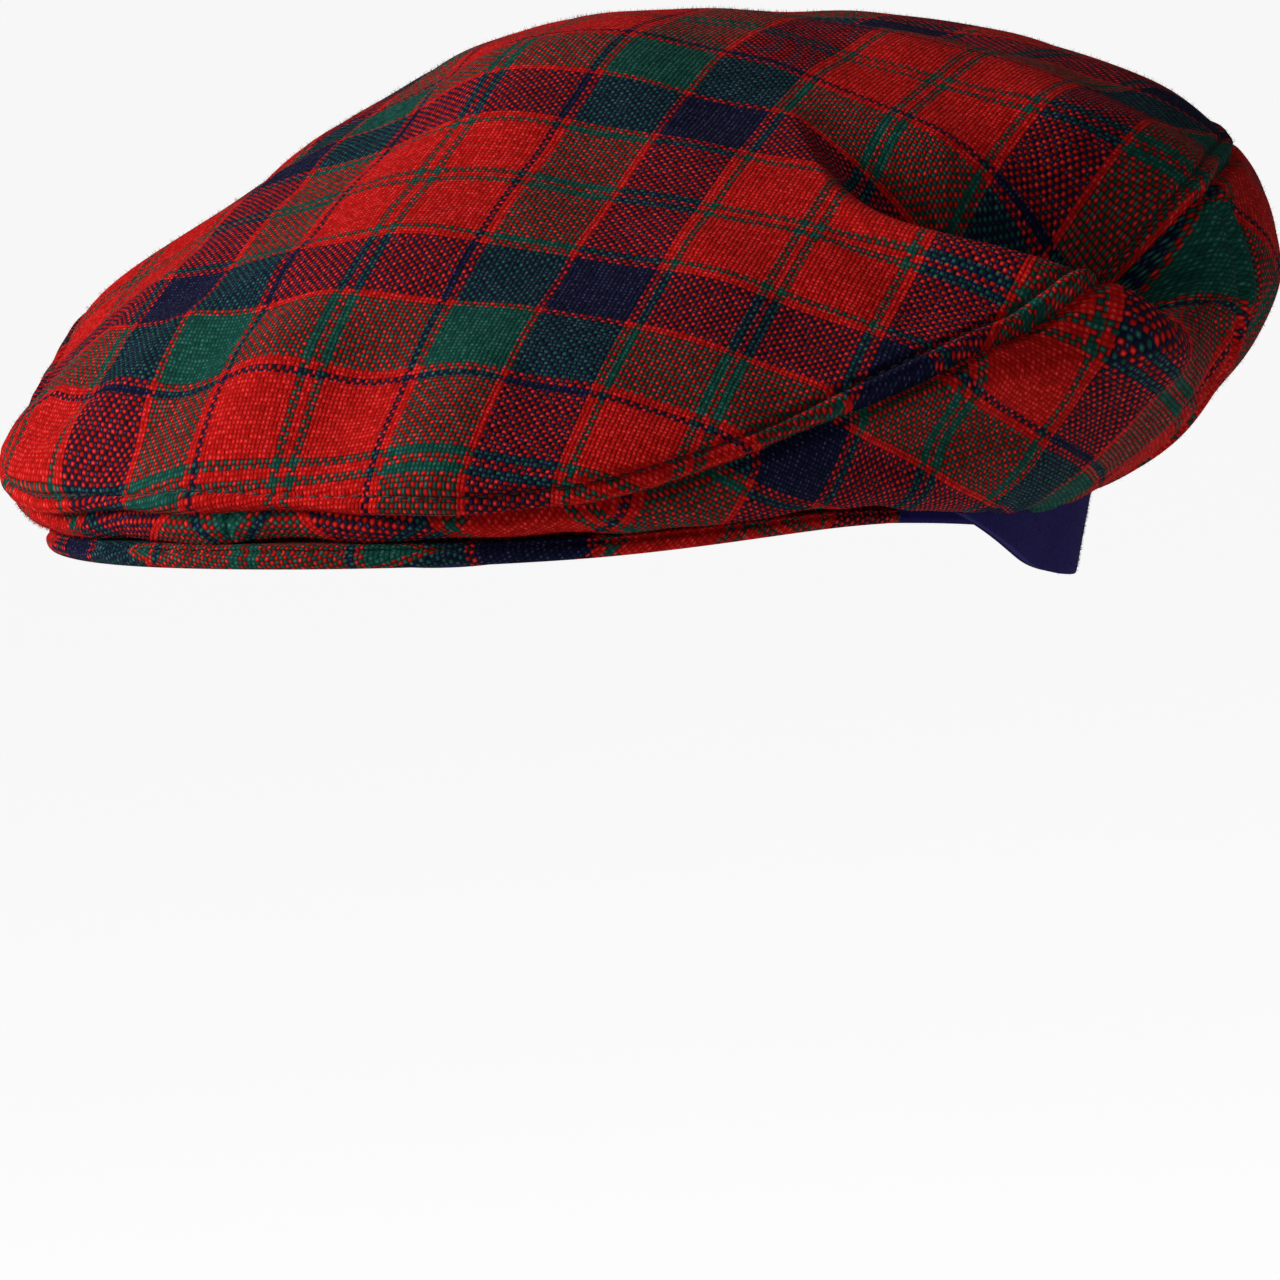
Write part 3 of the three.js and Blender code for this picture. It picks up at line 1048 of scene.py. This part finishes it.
@dataclass(frozen=True)
class StitchThread:
    """Twisted dark red sewing thread."""

    dark: Colour = (0.006, 0.002, 0.004, 1)
    light: Colour = (0.040, 0.004, 0.006, 1)
    ply_scale: float = 2200.0
    roughness: tuple[float, float] = (0.8, 0.6)

    def build(self) -> Material:
        """Makes the material: slanting bands of light and shade along the thread.

        Returns:
            The material.
        """
        material, kit, shader = new_material("stitch_thread")
        where = kit.add("ShaderNodeTexCoord", {}).outputs["Object"]
        inputs = {"Vector": where, "Scale": self.ply_scale}
        ply = kit.add("ShaderNodeTexWave", inputs, bands_direction="DIAGONAL").outputs["Fac"]
        rough = kit.spread(ply, *self.roughness)
        kit.feed(shader, {"Base Color": kit.mix(ply, self.dark, self.light), "Roughness": rough})
        return material


@dataclass(frozen=True)
class PaleFloor:
    """A plain pale studio floor."""

    shade: Colour = (0.9, 0.9, 0.9, 1)
    glow: Colour = (1, 1, 1, 1)
    roughness: float = 0.9
    seen_glow: float = 0.82
    thrown_glow: float = 0.22

    def build(self) -> Material:
        """Makes the material: matt and near white, throwing only a little light on the cap.

        Returns:
            The material.
        """
        material, kit, shader = new_material("pale_floor")
        seen = kit.add("ShaderNodeLightPath", {}).outputs["Is Camera Ray"]
        values = {
            "Base Color": self.shade,
            "Roughness": self.roughness,
            "Emission Color": self.glow,
            "Emission Strength": kit.spread(seen, self.thrown_glow, self.seen_glow),
        }
        kit.feed(shader, values)
        return material


def dress(obj: Object, material: Material, node: str = "") -> Object:
    """Gives a piece its finish and its body, and hides the solid that it stands for.

    Args:
        obj: The piece.
        material: Its finish.
        node: That solid.

    Returns:
        The piece.
    """
    obj.data.materials.append(material)
    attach(obj, "root")
    if node:
        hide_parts(node)
    return obj


# ---- Fibres ----


# each fibre has three points at the root, three in the middle and a tip
FIBRE_WALLS = ((0, 1, 4), (0, 4, 3), (1, 2, 5), (1, 5, 4), (2, 0, 3), (2, 3, 5))
FIBRE_ENDS = ((3, 4, 6), (4, 5, 6), (5, 3, 6), (2, 1, 0))


@dataclass
class Fuzz:
    """Short loose fibres that stand off a woollen or felt surface."""

    name: str
    count: int
    shortest: float
    longest: float
    seed: int
    root: float = 0.028
    taper: float = 0.8
    lean: float = 1.1
    curl: float = 0.45
    sink: float = 0.1

    def build(self, points: Array, normals: Array, cloth: Array, finish: Material) -> Object:
        """Builds bent, tapered fibres: two rings of three points and a tip each.

        A fibre leans from the normal by a random way aside, and bends by the square of
        the way along it.

        Args:
            points: Roots, in millimetres, as count by three.
            normals: The surface's normals there.
            cloth: The cloth's yarns there, so that a fibre has its yarn's colour.
            finish: The surface's material.

        Returns:
            The dressed object.
        """
        chance = np.random.default_rng(self.seed)
        aside = chance.normal(size=(len(points), 3))
        ahead = unit(normals + self.lean * unit(aside) * chance.random((len(points), 1)))
        side = unit(np.cross(ahead, aside))
        other = np.cross(ahead, side)
        length = self.shortest + (self.longest - self.shortest) * chance.random((len(points), 1))
        bend = side * self.curl * length * (chance.random((len(points), 1)) - 0.5)
        foot = points - ahead * self.sink
        middle = foot + ahead * length / 2 + bend / 4
        tip = foot + ahead * length + bend
        angle = np.linspace(0, 2 * math.pi, 3, endpoint=False)[None, :, None]
        ring = (side[:, None] * np.cos(angle) + other[:, None] * np.sin(angle)) * self.root
        rings = [foot[:, None] + ring, middle[:, None] + ring * self.taper, tip[:, None]]
        rows = np.concatenate(rings, axis=1)
        first = np.arange(len(rows))[:, None] * rows.shape[1]
        corners = (first + np.array(FIBRE_WALLS + FIBRE_ENDS).ravel()).ravel()
        totals = np.full(len(corners) // 3, 3)
        places = np.repeat(cloth, rows.shape[1], axis=0)
        return dress(make_object(self.name, rows.reshape(-1, 3), corners, totals, places), finish)


# ---- The cap's pieces ----


@dataclass
class TopPanel:
    """The one-piece top: a soft shell from the middle of the crown to the top seam."""

    form: CrownForm
    thickness: float = 2.0
    columns: int = 420
    coarse_rows: int = 74
    fine_rows: int = 22
    fine_band: float = 10.0
    seam: SeamForm = SeamForm()
    lay: TopLay = TopLay()
    flat_size: tuple[float, float] = (0.237, 0.285)
    flat_area: float = 0.0532

    def surface(self, turn: Array, run: Array) -> tuple[Array, Array]:
        """The panel's outer face.

        Args:
            turn: Degrees from the front.
            run: Run of cloth from the middle of the top.

        Returns:
            Points, and their places on the cloth in yarns.
        """
        across, ahead = self.form.flat(turn, run)
        yarns = self.lay.yarns(across, ahead, self.form.taken_up(across, ahead))
        lift = self.seam.welted(self.form.seam(turn) - run)
        return self.form.cloth(turn, run, lift), yarns

    def build(self, finish: Material) -> Object:
        """Builds and dresses the panel: rows follow the run of cloth, closest beside the seam.

        Args:
            finish: The wool's material.

        Returns:
            The dressed panel.
        """
        turn = np.linspace(-180, 180, self.columns, endpoint=False)[:, None]
        edge = self.form.seam(turn)
        coarse = (edge - self.fine_band) * np.linspace(0, 1, self.coarse_rows + 1)[None, :]
        fine = edge - self.fine_band * (1 - np.linspace(0, 1, self.fine_rows + 1)[None, 1:])
        run = np.concatenate([coarse, fine], axis=1)
        outer, yarns = self.surface(np.broadcast_to(turn, run.shape), run)
        normal = grid_normals(outer, ring=True)
        normal[:, 0] = (0, 0, 1)
        inner = outer - normal * self.thickness
        loops = np.concatenate([outer, inner[:, ::-1]], axis=1)
        cloth = np.concatenate([yarns, yarns[:, ::-1]], axis=1)
        panel = GridPiece("top_cloth", loops, cloth, dome=True).build()
        dress(panel, finish, "top_panel")
        return panel

    def fuzz(self, fibres: Fuzz, finish: Material) -> Object:
        """Scatters loose fibres evenly over the panel.

        Args:
            fibres: The fibres' sizes, count and seed.
            finish: The wool's material.

        Returns:
            The dressed fibres.
        """
        chance = np.random.default_rng(fibres.seed)
        turn = chance.uniform(-180, 180, fibres.count)
        run = self.form.seam(turn) * np.sqrt(chance.random(fibres.count))
        points, yarns = self.surface(turn, run)
        return fibres.build(points, self.form.normal(turn, run), yarns, finish)


class EndSeam(Enum):
    """What a wall panel does at one of its ends."""

    MEETS = "meets"
    GROOVED = "grooved"
    WELTED = "welted"


@dataclass
class LowerPanel:
    """A wall panel between the top seam and the rim, from one turn to another."""

    form: CrownForm
    name: str
    node: str
    from_turn: float
    to_turn: float
    ends: tuple[EndSeam, EndSeam]
    lay: PanelLay
    flat_size: tuple[float, float] = (0.26, 0.075)
    flat_area: float = 0.0085
    thickness: float = 2.0
    columns: int = 200
    rows: int = 64
    row_power: float = 1.35
    edge_steps: int = 7
    top_seam: SeamForm = SeamForm()
    rear_seam: SeamForm = SeamForm(welt_width=6.0)
    arc_reach: float = 100.0
    overlap: float = 0.8
    lap: float = 0.0
    clear: float = 1.0
    fuzz_span: tuple[float, float] = (0.06, 0.97)

    def surface(self, turn: Array, run: Array) -> tuple[Array, Array]:
        """The panel's outer face.

        Args:
            turn: Degrees from the front.
            run: Run of cloth from the middle of the top.

        Returns:
            Points, and their places on the cloth in yarns.
        """
        yarns = self.lay.yarns(self.form, turn, self.form.length(turn) - run)
        lift = self.top_seam.plain(run - self.form.seam(turn)) + self._end_lift(turn)
        return self.form.cloth(turn, run, lift), yarns

    def build(self, finish: Material) -> Object:
        """Builds and dresses the panel: rows run from just under the top's edge to a rounded rim.

        Args:
            finish: The wool's material.

        Returns:
            The dressed panel.
        """
        turn = np.linspace(self.from_turn - self.lap, self.to_turn + self.lap, self.columns)[:, None]
        share = np.linspace(0, 1, self.rows)[None, :] ** self.row_power
        start = self.form.seam(turn) - self.overlap
        run = start + (self.form.length(turn) - start) * share
        outer, yarns = self.surface(np.broadcast_to(turn, run.shape), run)
        inner = outer - grid_normals(outer, ring=False) * self.thickness
        down = unit(outer[:, -1] - outer[:, -2])
        rim = rounded_edge(outer[:, -1], inner[:, -1], down, self.edge_steps)
        loops = np.concatenate([outer, rim, inner[:, ::-1]], axis=1)
        around = np.repeat(yarns[:, -1:], self.edge_steps, axis=1)
        cloth = np.concatenate([yarns, around, yarns[:, ::-1]], axis=1)
        panel = GridPiece(self.name, loops, cloth).build()
        dress(panel, finish, self.node)
        return panel

    def fuzz(self, fibres: Fuzz, finish: Material) -> Object:
        """Scatters loose fibres evenly over the panel, clear of its edges.

        Args:
            fibres: The fibres' sizes, count and seed.
            finish: The wool's material.

        Returns:
            The dressed fibres.
        """
        chance = np.random.default_rng(fibres.seed)
        turn = chance.uniform(self.from_turn + self.clear, self.to_turn - self.clear, fibres.count)
        edge = self.form.seam(turn)
        run = edge + (self.form.length(turn) - edge) * chance.uniform(*self.fuzz_span, fibres.count)
        points, yarns = self.surface(turn, run)
        return fibres.build(points, self.form.normal(turn, run), yarns, finish)

    def _end_lift(self, turn: Array) -> Array:
        """The lift beside both ends, where the welt carries the topstitching.

        Args:
            turn: Degrees from the front.

        Returns:
            The lift there, in millimetres.
        """
        lift = np.zeros_like(turn)
        for degrees, end in zip((turn - self.from_turn, self.to_turn - turn), self.ends):
            away = np.radians(degrees) * self.arc_reach
            if end is EndSeam.WELTED:
                lift += self.rear_seam.welted(away)
            elif end is EndSeam.GROOVED:
                lift += self.rear_seam.plain(away)
        return lift


@dataclass
class Peak:
    """The stiff peak: a crescent board in cloth, with a rolled front edge."""

    form: CrownForm
    turn: float = 53.0
    lip: float = 3.0
    wall: float = 2.0
    edge: float = 4.2
    corner_edge: float = 2.4
    camber: float = 7.0
    corner_camber: float = 0.2
    back_length: float = 99.0
    back_width: float = 80.0
    gap: float = 0.3
    columns: int = 220
    rows: int = 26
    edge_steps: int = 29
    seam_share: float = 0.33
    seam_reach: float = 0.08
    seam_depth: float = 0.9
    lay_angle: float = 5.0
    yarn: float = 0.85
    lay_shift: tuple[float, float] = (12.0, 36.0)

    def build(self, finish: Material) -> Object:
        """Builds and dresses the peak.

        The board runs from the front of the headband, an ellipse, to just past the
        body's edge. It rises towards the headband by the square of the way back.

        Args:
            finish: The wool's material.

        Returns:
            The dressed peak.
        """
        turn = np.linspace(-self.turn, self.turn, self.columns)[:, None]
        angle = np.radians(turn)
        cornering = (np.abs(turn) / self.turn) ** 2
        rim_reach, rim_height = self.form.rim(turn)
        back = 1 / np.hypot(np.sin(angle) / self.back_width, np.cos(angle) / self.back_length)
        edge = self.edge + (self.corner_edge - self.edge) * cornering
        front = rim_reach + self.lip * (1 - cornering) - self.wall * cornering - edge / 2
        share = np.linspace(0, 1, self.rows)[None, :]
        reach = back + (front - back) * share
        rise = self.camber * (1 - share) ** 2 * (1 + (self.corner_camber - 1) * cornering)
        top = rim_height - self.gap + rise
        upper = place(turn, reach, top)
        lower = place(turn, reach, top - edge)
        out = place(turn[:, 0], 1.0, np.zeros(self.columns))
        roll = rounded_edge(upper[:, -1], lower[:, -1], out, self.edge_steps)
        down = np.linspace(0, 1, self.edge_steps) - self.seam_share
        groove = self.seam_depth * bell(down, self.seam_reach)
        roll = roll - out[:, None] * groove[None, :, None]
        loops = np.concatenate([upper, roll, lower[:, ::-1]], axis=1)
        cloth = self._cloth(loops, self.rows + round(self.seam_share * self.edge_steps))
        piece = GridPiece("peak_board", loops, cloth).build()
        return dress(piece, finish, "peak")

    def _cloth(self, loops: Array, seam: int) -> Array:
        """Yarns of the two flat covers, which are cut alike and meet at the seam in the edge.

        Args:
            loops: The peak's points, columns by points in a loop by three.
            seam: The seam's place in each loop.

        Returns:
            Places on the cloth, in yarns.
        """
        run = way_along(loops)
        away = np.abs(run - run[:, seam, None])
        front = loops[:, seam, :2]
        flat = front[:, None] - unit(front)[:, None] * away[..., None]
        c = math.cos(math.radians(self.lay_angle))
        s = math.sin(math.radians(self.lay_angle))
        first = (flat[..., 0] * c + flat[..., 1] * s) / self.yarn + self.lay_shift[0]
        second = (flat[..., 1] * c - flat[..., 0] * s) / self.yarn + self.lay_shift[1]
        return np.stack([first, second], axis=-1)


@dataclass
class EarFlap:
    """The felt band folded down from temple to temple round the back of the head."""

    form: CrownForm
    thickness: float = 2.5
    turn: float = 64.0
    tuck: float = 12.0
    end_drop: float = 0.5
    back_drop: float = 18.0
    drop_turn: float = 64.0
    rim_turn_in: float = 0.9
    gap: float = 0.3
    draw_in: float = 4.0
    columns: int = 260
    rows: int = 30
    edge_steps: int = 9
    wave: float = 0.35
    waves: int = 11
    clear: float = 4.0
    fuzz_from: float = 0.5
    edge_from: float = 0.95
    flat_size: tuple[float, float] = (0.31, 0.030)

    def surface(self, turn: Array, share: Array) -> Array:
        """Outer points of the felt: down from inside the rim, leaning in and waving below it.

        Args:
            turn: Degrees from the front.
            share: 0 at the tucked edge and 1 at the lower edge, of the same shape.

        Returns:
            Points, with a last axis of three.
        """
        rim_reach, rim_height = self.form.rim(turn)
        from_end = 180 - self.turn - np.abs(turn - 180)
        fall = np.sin(math.pi / 2 * np.clip(from_end / self.drop_turn, 0, 1))
        drop = self.end_drop + (self.back_drop - self.end_drop) * fall
        top = rim_height + self.tuck
        height = top + (rim_height - drop - top) * share
        below = np.maximum(rim_height - height, 0) / self.back_drop
        reach = rim_reach - self.rim_turn_in - self.gap - self.draw_in * below
        reach = reach + self.wave * below * np.sin(np.radians(turn) * self.waves)
        return place(turn, reach, height)

    def build(self, finish: Material) -> Object:
        """Builds and dresses the flap, with a rounded lower edge.

        Args:
            finish: The felt's material.

        Returns:
            The dressed flap.
        """
        turn = np.linspace(self.turn, 360 - self.turn, self.columns)[:, None]
        share = np.linspace(0, 1, self.rows)[None, :]
        outer = self.surface(*np.broadcast_arrays(turn, share))
        inner = outer - grid_normals(outer, ring=False) * self.thickness
        down = unit(outer[:, -1] - outer[:, -2])
        lower = rounded_edge(outer[:, -1], inner[:, -1], down, self.edge_steps)
        lower = lower - down[:, None, :] * self.thickness / 2
        loops = np.concatenate([outer, lower, inner[:, ::-1]], axis=1)
        piece = GridPiece("ear_flap_felt", loops, loops[..., :2]).build()
        dress(piece, finish, "ear_flap")
        return piece

    def fuzz(self, fibres: Fuzz, finish: Material) -> Object:
        """Scatters short fibres over the felt that shows below the rim.

        Args:
            fibres: The fibres' sizes, count and seed.
            finish: The felt's material.

        Returns:
            The dressed fibres.
        """
        chance = np.random.default_rng(fibres.seed)
        turn = chance.uniform(self.turn + self.clear, 360 - self.turn - self.clear, fibres.count)
        share = chance.uniform(self.fuzz_from, 1.0, fibres.count)
        points = self.surface(turn, share)
        out = unit(points * np.array([1.0, 1.0, 0.0]))
        down = np.array([0.0, 0.0, -1.0]) * (share > self.edge_from)[:, None]
        return fibres.build(points, unit(out + down), points[:, :2], finish)


class StitchPath(Enum):
    """The seam that a line of topstitching follows."""

    TOP_SEAM = "top_seam"
    REAR_SEAM = "rear_seam"


@dataclass
class Topstitching:
    """Lines of short thread stitches beside the seams."""

    form: CrownForm
    pitch: float = 2.7
    stitch: float = 2.5
    thread: float = 0.34
    slim: float = 0.35
    sides: int = 6
    steps: int = 5
    sink: float = 0.2
    top_away: float = 4.3
    top_samples: int = 1440
    rear_away: float = 6.0
    rear_turn: float = 111.0
    rear_span: tuple[float, float] = (0.03, 0.97)
    rear_samples: int = 300
    seam: SeamForm = SeamForm()
    arc_reach: float = 100.0

    def build(self, path: StitchPath, finish: Material) -> Object:
        """Builds one line of stitches; each stitch is a thin arched tube with tapered ends.

        Args:
            path: The seam that the line follows.
            finish: The thread's material.

        Returns:
            The dressed stitches, as closed tubes in one mesh.
        """
        centres, normals = self._line(path)
        along = way_along(centres)
        start = np.arange(int(along[-1] / self.pitch)) * self.pitch
        where = start[:, None] + np.linspace(0, self.stitch, self.steps)[None, :]
        middle = np.stack([np.interp(where, along, column) for column in centres.T], axis=-1)
        normal = unit(np.stack([np.interp(where, along, column) for column in normals.T], axis=-1))
        side = np.cross(unit(np.gradient(middle, axis=1)), normal)
        arch = np.sin(np.linspace(0, math.pi, self.steps))[None, :, None]
        middle = middle + normal * (arch * self.thread - self.sink)
        radius = self.thread * (self.slim + (1 - self.slim) * arch[..., None])
        angle = np.linspace(0, 2 * math.pi, self.sides, endpoint=False)[None, None, :, None]
        ring = side[:, :, None] * np.cos(angle) + normal[:, :, None] * np.sin(angle)
        points = (middle[:, :, None] + ring * radius).reshape(-1, 3)
        index = np.arange(len(points)).reshape(-1, self.steps, self.sides)
        turned = np.roll(index, -1, axis=2)
        walls = np.stack([index[:, :-1], turned[:, :-1], turned[:, 1:], index[:, 1:]], axis=-1)
        ends = np.concatenate([index[:, 0, ::-1], index[:, -1]])
        corners = np.concatenate([walls.ravel(), ends.ravel()])
        totals = np.repeat([4, self.sides], [walls.size // 4, len(ends)])
        return dress(make_object(f"stitches_{path.value}", points, corners, totals), finish)

    def _line(self, path: StitchPath) -> tuple[Array, Array]:
        """The line that the stitches follow on the cloth.

        Args:
            path: The seam that the line follows.

        Returns:
            Points along the line, and the cloth's normals there.
        """
        if path is StitchPath.TOP_SEAM:
            turn = np.linspace(-180, 180, self.top_samples)
            run = self.form.seam(turn) - self.top_away
        else:
            share = np.linspace(*self.rear_span, self.rear_samples)
            turn = np.full_like(share, self.rear_turn - math.degrees(self.rear_away / self.arc_reach))
            edge = self.form.seam(turn)
            run = edge + (self.form.length(turn) - edge) * share
        sunk = self.seam.welted(np.full_like(turn, self.top_away))
        return self.form.cloth(turn, run, sunk), self.form.normal(turn, run)


# ---- The studio, in metres ----


@dataclass(frozen=True)
class Lamp:
    """A square soft light that faces the cap."""

    name: str
    place: Point
    size: float
    power: float

    def build(self) -> None:
        """Puts the light into the scene."""
        data = bpy.data.lights.new(self.name, "AREA")
        data.size = self.size
        data.energy = self.power
        light = link(bpy.data.objects.new(self.name, data))
        light.location = self.place
        light.rotation_euler = (-Vector(self.place)).to_track_quat("-Z", "Y").to_euler()


# the key stands to the wearer's front right, and the fill to the front left
LAMPS = (
    Lamp("key", (-1.0, -1.2, 0.75), 0.7, 34),
    Lamp("fill", (1.5, -0.9, 0.5), 1.2, 2.0),
    Lamp("above", (-0.3, -0.2, 1.7), 1.0, 2.5),
)


@dataclass(frozen=True)
class Studio:
    """Camera, soft lights and a pale floor. Turns are in degrees and the lens in millimetres."""

    turn: float = 30.2
    rise: float = 6.6
    roll: float = 3.6
    distance: float = 1.2
    lens: float = 178.2
    aim_left: float = 0.321
    aim_down: float = 1.2295
    nearest: float = 0.05
    farthest: float = 200.0
    floor_drop: float = 0.9
    floor_size: float = 60.0
    sky: float = 0.12
    lamps: tuple[Lamp, ...] = LAMPS

    def build(self) -> None:
        """Places the camera, the lamps, the sky and the floor."""
        self._camera()
        for lamp in self.lamps:
            lamp.build()
        self._sky()
        self._floor()

    def _camera(self) -> None:
        """The camera looks down on the cap from its left front, aimed a little below it."""
        a, e, r = (math.radians(x) for x in (self.turn, self.rise, self.roll))
        back = Vector((math.sin(a) * math.cos(e), -math.cos(a) * math.cos(e), math.sin(e)))
        level = Vector((math.cos(a), math.sin(a), 0))
        upright = Vector((-math.sin(a) * math.sin(e), math.cos(a) * math.sin(e), math.cos(e)))
        right = level * math.cos(r) - upright * math.sin(r)
        up = upright * math.cos(r) + level * math.sin(r)
        aside = math.tan(math.radians(self.aim_left))
        below = math.tan(math.radians(self.aim_down))
        forward = (-back - right * aside - up * below).normalized()
        right = (right - forward * right.dot(forward)).normalized()
        up = right.cross(forward)
        data = bpy.data.cameras.new("camera")
        data.lens = self.lens
        data.clip_start = self.nearest
        data.clip_end = self.farthest
        camera = link(bpy.data.objects.new("camera", data))
        turned = Matrix((right, up, -forward)).transposed().to_4x4()
        camera.matrix_world = Matrix.Translation(back * self.distance) @ turned
        bpy.context.scene.camera = camera

    def _sky(self) -> None:
        """An even white sky, and colours shown as they are."""
        world = bpy.data.worlds.new("studio")
        world.use_nodes = True
        shade = world.node_tree.nodes["Background"]
        shade.inputs["Color"].default_value = (1, 1, 1, 1)
        shade.inputs["Strength"].default_value = self.sky
        bpy.context.scene.world = world
        bpy.context.scene.view_settings.view_transform = "Standard"

    def _floor(self) -> None:
        """A wide floor well below the cap."""
        half, low = self.floor_size / 2, -self.floor_drop
        corners = [(-half, -half, low), (half, -half, low), (half, half, low), (-half, half, low)]
        mesh = bpy.data.meshes.new("floor")
        mesh.from_pydata(corners, [], [(0, 1, 2, 3)])
        mesh.materials.append(PaleFloor().build())
        link(bpy.data.objects.new("floor", mesh))


# ---- Putting the cap together ----


def wall_panels(form: CrownForm, rear: float) -> tuple[LowerPanel, ...]:
    """The panels below the top seam.

    Args:
        form: The cap's form.
        rear: Where the rear seams are, in degrees from the front.

    Returns:
        The left side, the right side and the back.
    """
    left = LowerPanel(
        form,
        "side_cloth_left",
        "side_panel_left",
        from_turn=0,
        to_turn=rear,
        ends=(EndSeam.MEETS, EndSeam.WELTED),
        lay=LEFT_LAY,
    )
    right = LowerPanel(
        form,
        "side_cloth_right",
        "side_panel_right",
        from_turn=-rear,
        to_turn=0,
        ends=(EndSeam.WELTED, EndSeam.MEETS),
        lay=RIGHT_LAY,
    )
    back = LowerPanel(
        form,
        "back_cloth",
        "back_panel",
        from_turn=rear,
        to_turn=360 - rear,
        ends=(EndSeam.GROOVED, EndSeam.GROOVED),
        lay=BACK_LAY,
        flat_size=(0.285, 0.083),
        flat_area=0.0212,
        lap=0.6,
    )
    return left, right, back


def main() -> None:
    """Builds the cap piece by piece and logs each one."""
    logging.basicConfig(level=logging.INFO, format="%(message)s")
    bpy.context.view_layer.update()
    Studio().build()
    form = CrownForm()
    tartan = TartanWool().build()
    felt = NavyFelt().build()
    thread = StitchThread().build()
    top = TopPanel(form)
    flap = EarFlap(form)
    stitching = Topstitching(form)
    loose = Fuzz("top_fuzz", count=13000, shortest=0.4, longest=1.0, seed=3)
    pieces = [top.build(tartan), top.fuzz(loose, tartan)]
    for seed, panel in enumerate(wall_panels(form, stitching.rear_turn), start=10):
        loose = Fuzz(f"{panel.name}_fuzz", count=3500, shortest=0.4, longest=0.9, seed=seed)
        pieces += [panel.build(tartan), panel.fuzz(loose, tartan)]
    pieces.append(Peak(form).build(tartan))
    loose = Fuzz("felt_fuzz", count=5000, shortest=0.3, longest=0.7, seed=21)
    pieces += [flap.build(felt), flap.fuzz(loose, felt)]
    pieces += [stitching.build(path, thread) for path in StitchPath]
    for piece in pieces:
        LOG.info("%s: %d faces", piece.name, len(piece.data.polygons))


if __name__ == "__main__":
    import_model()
    main()
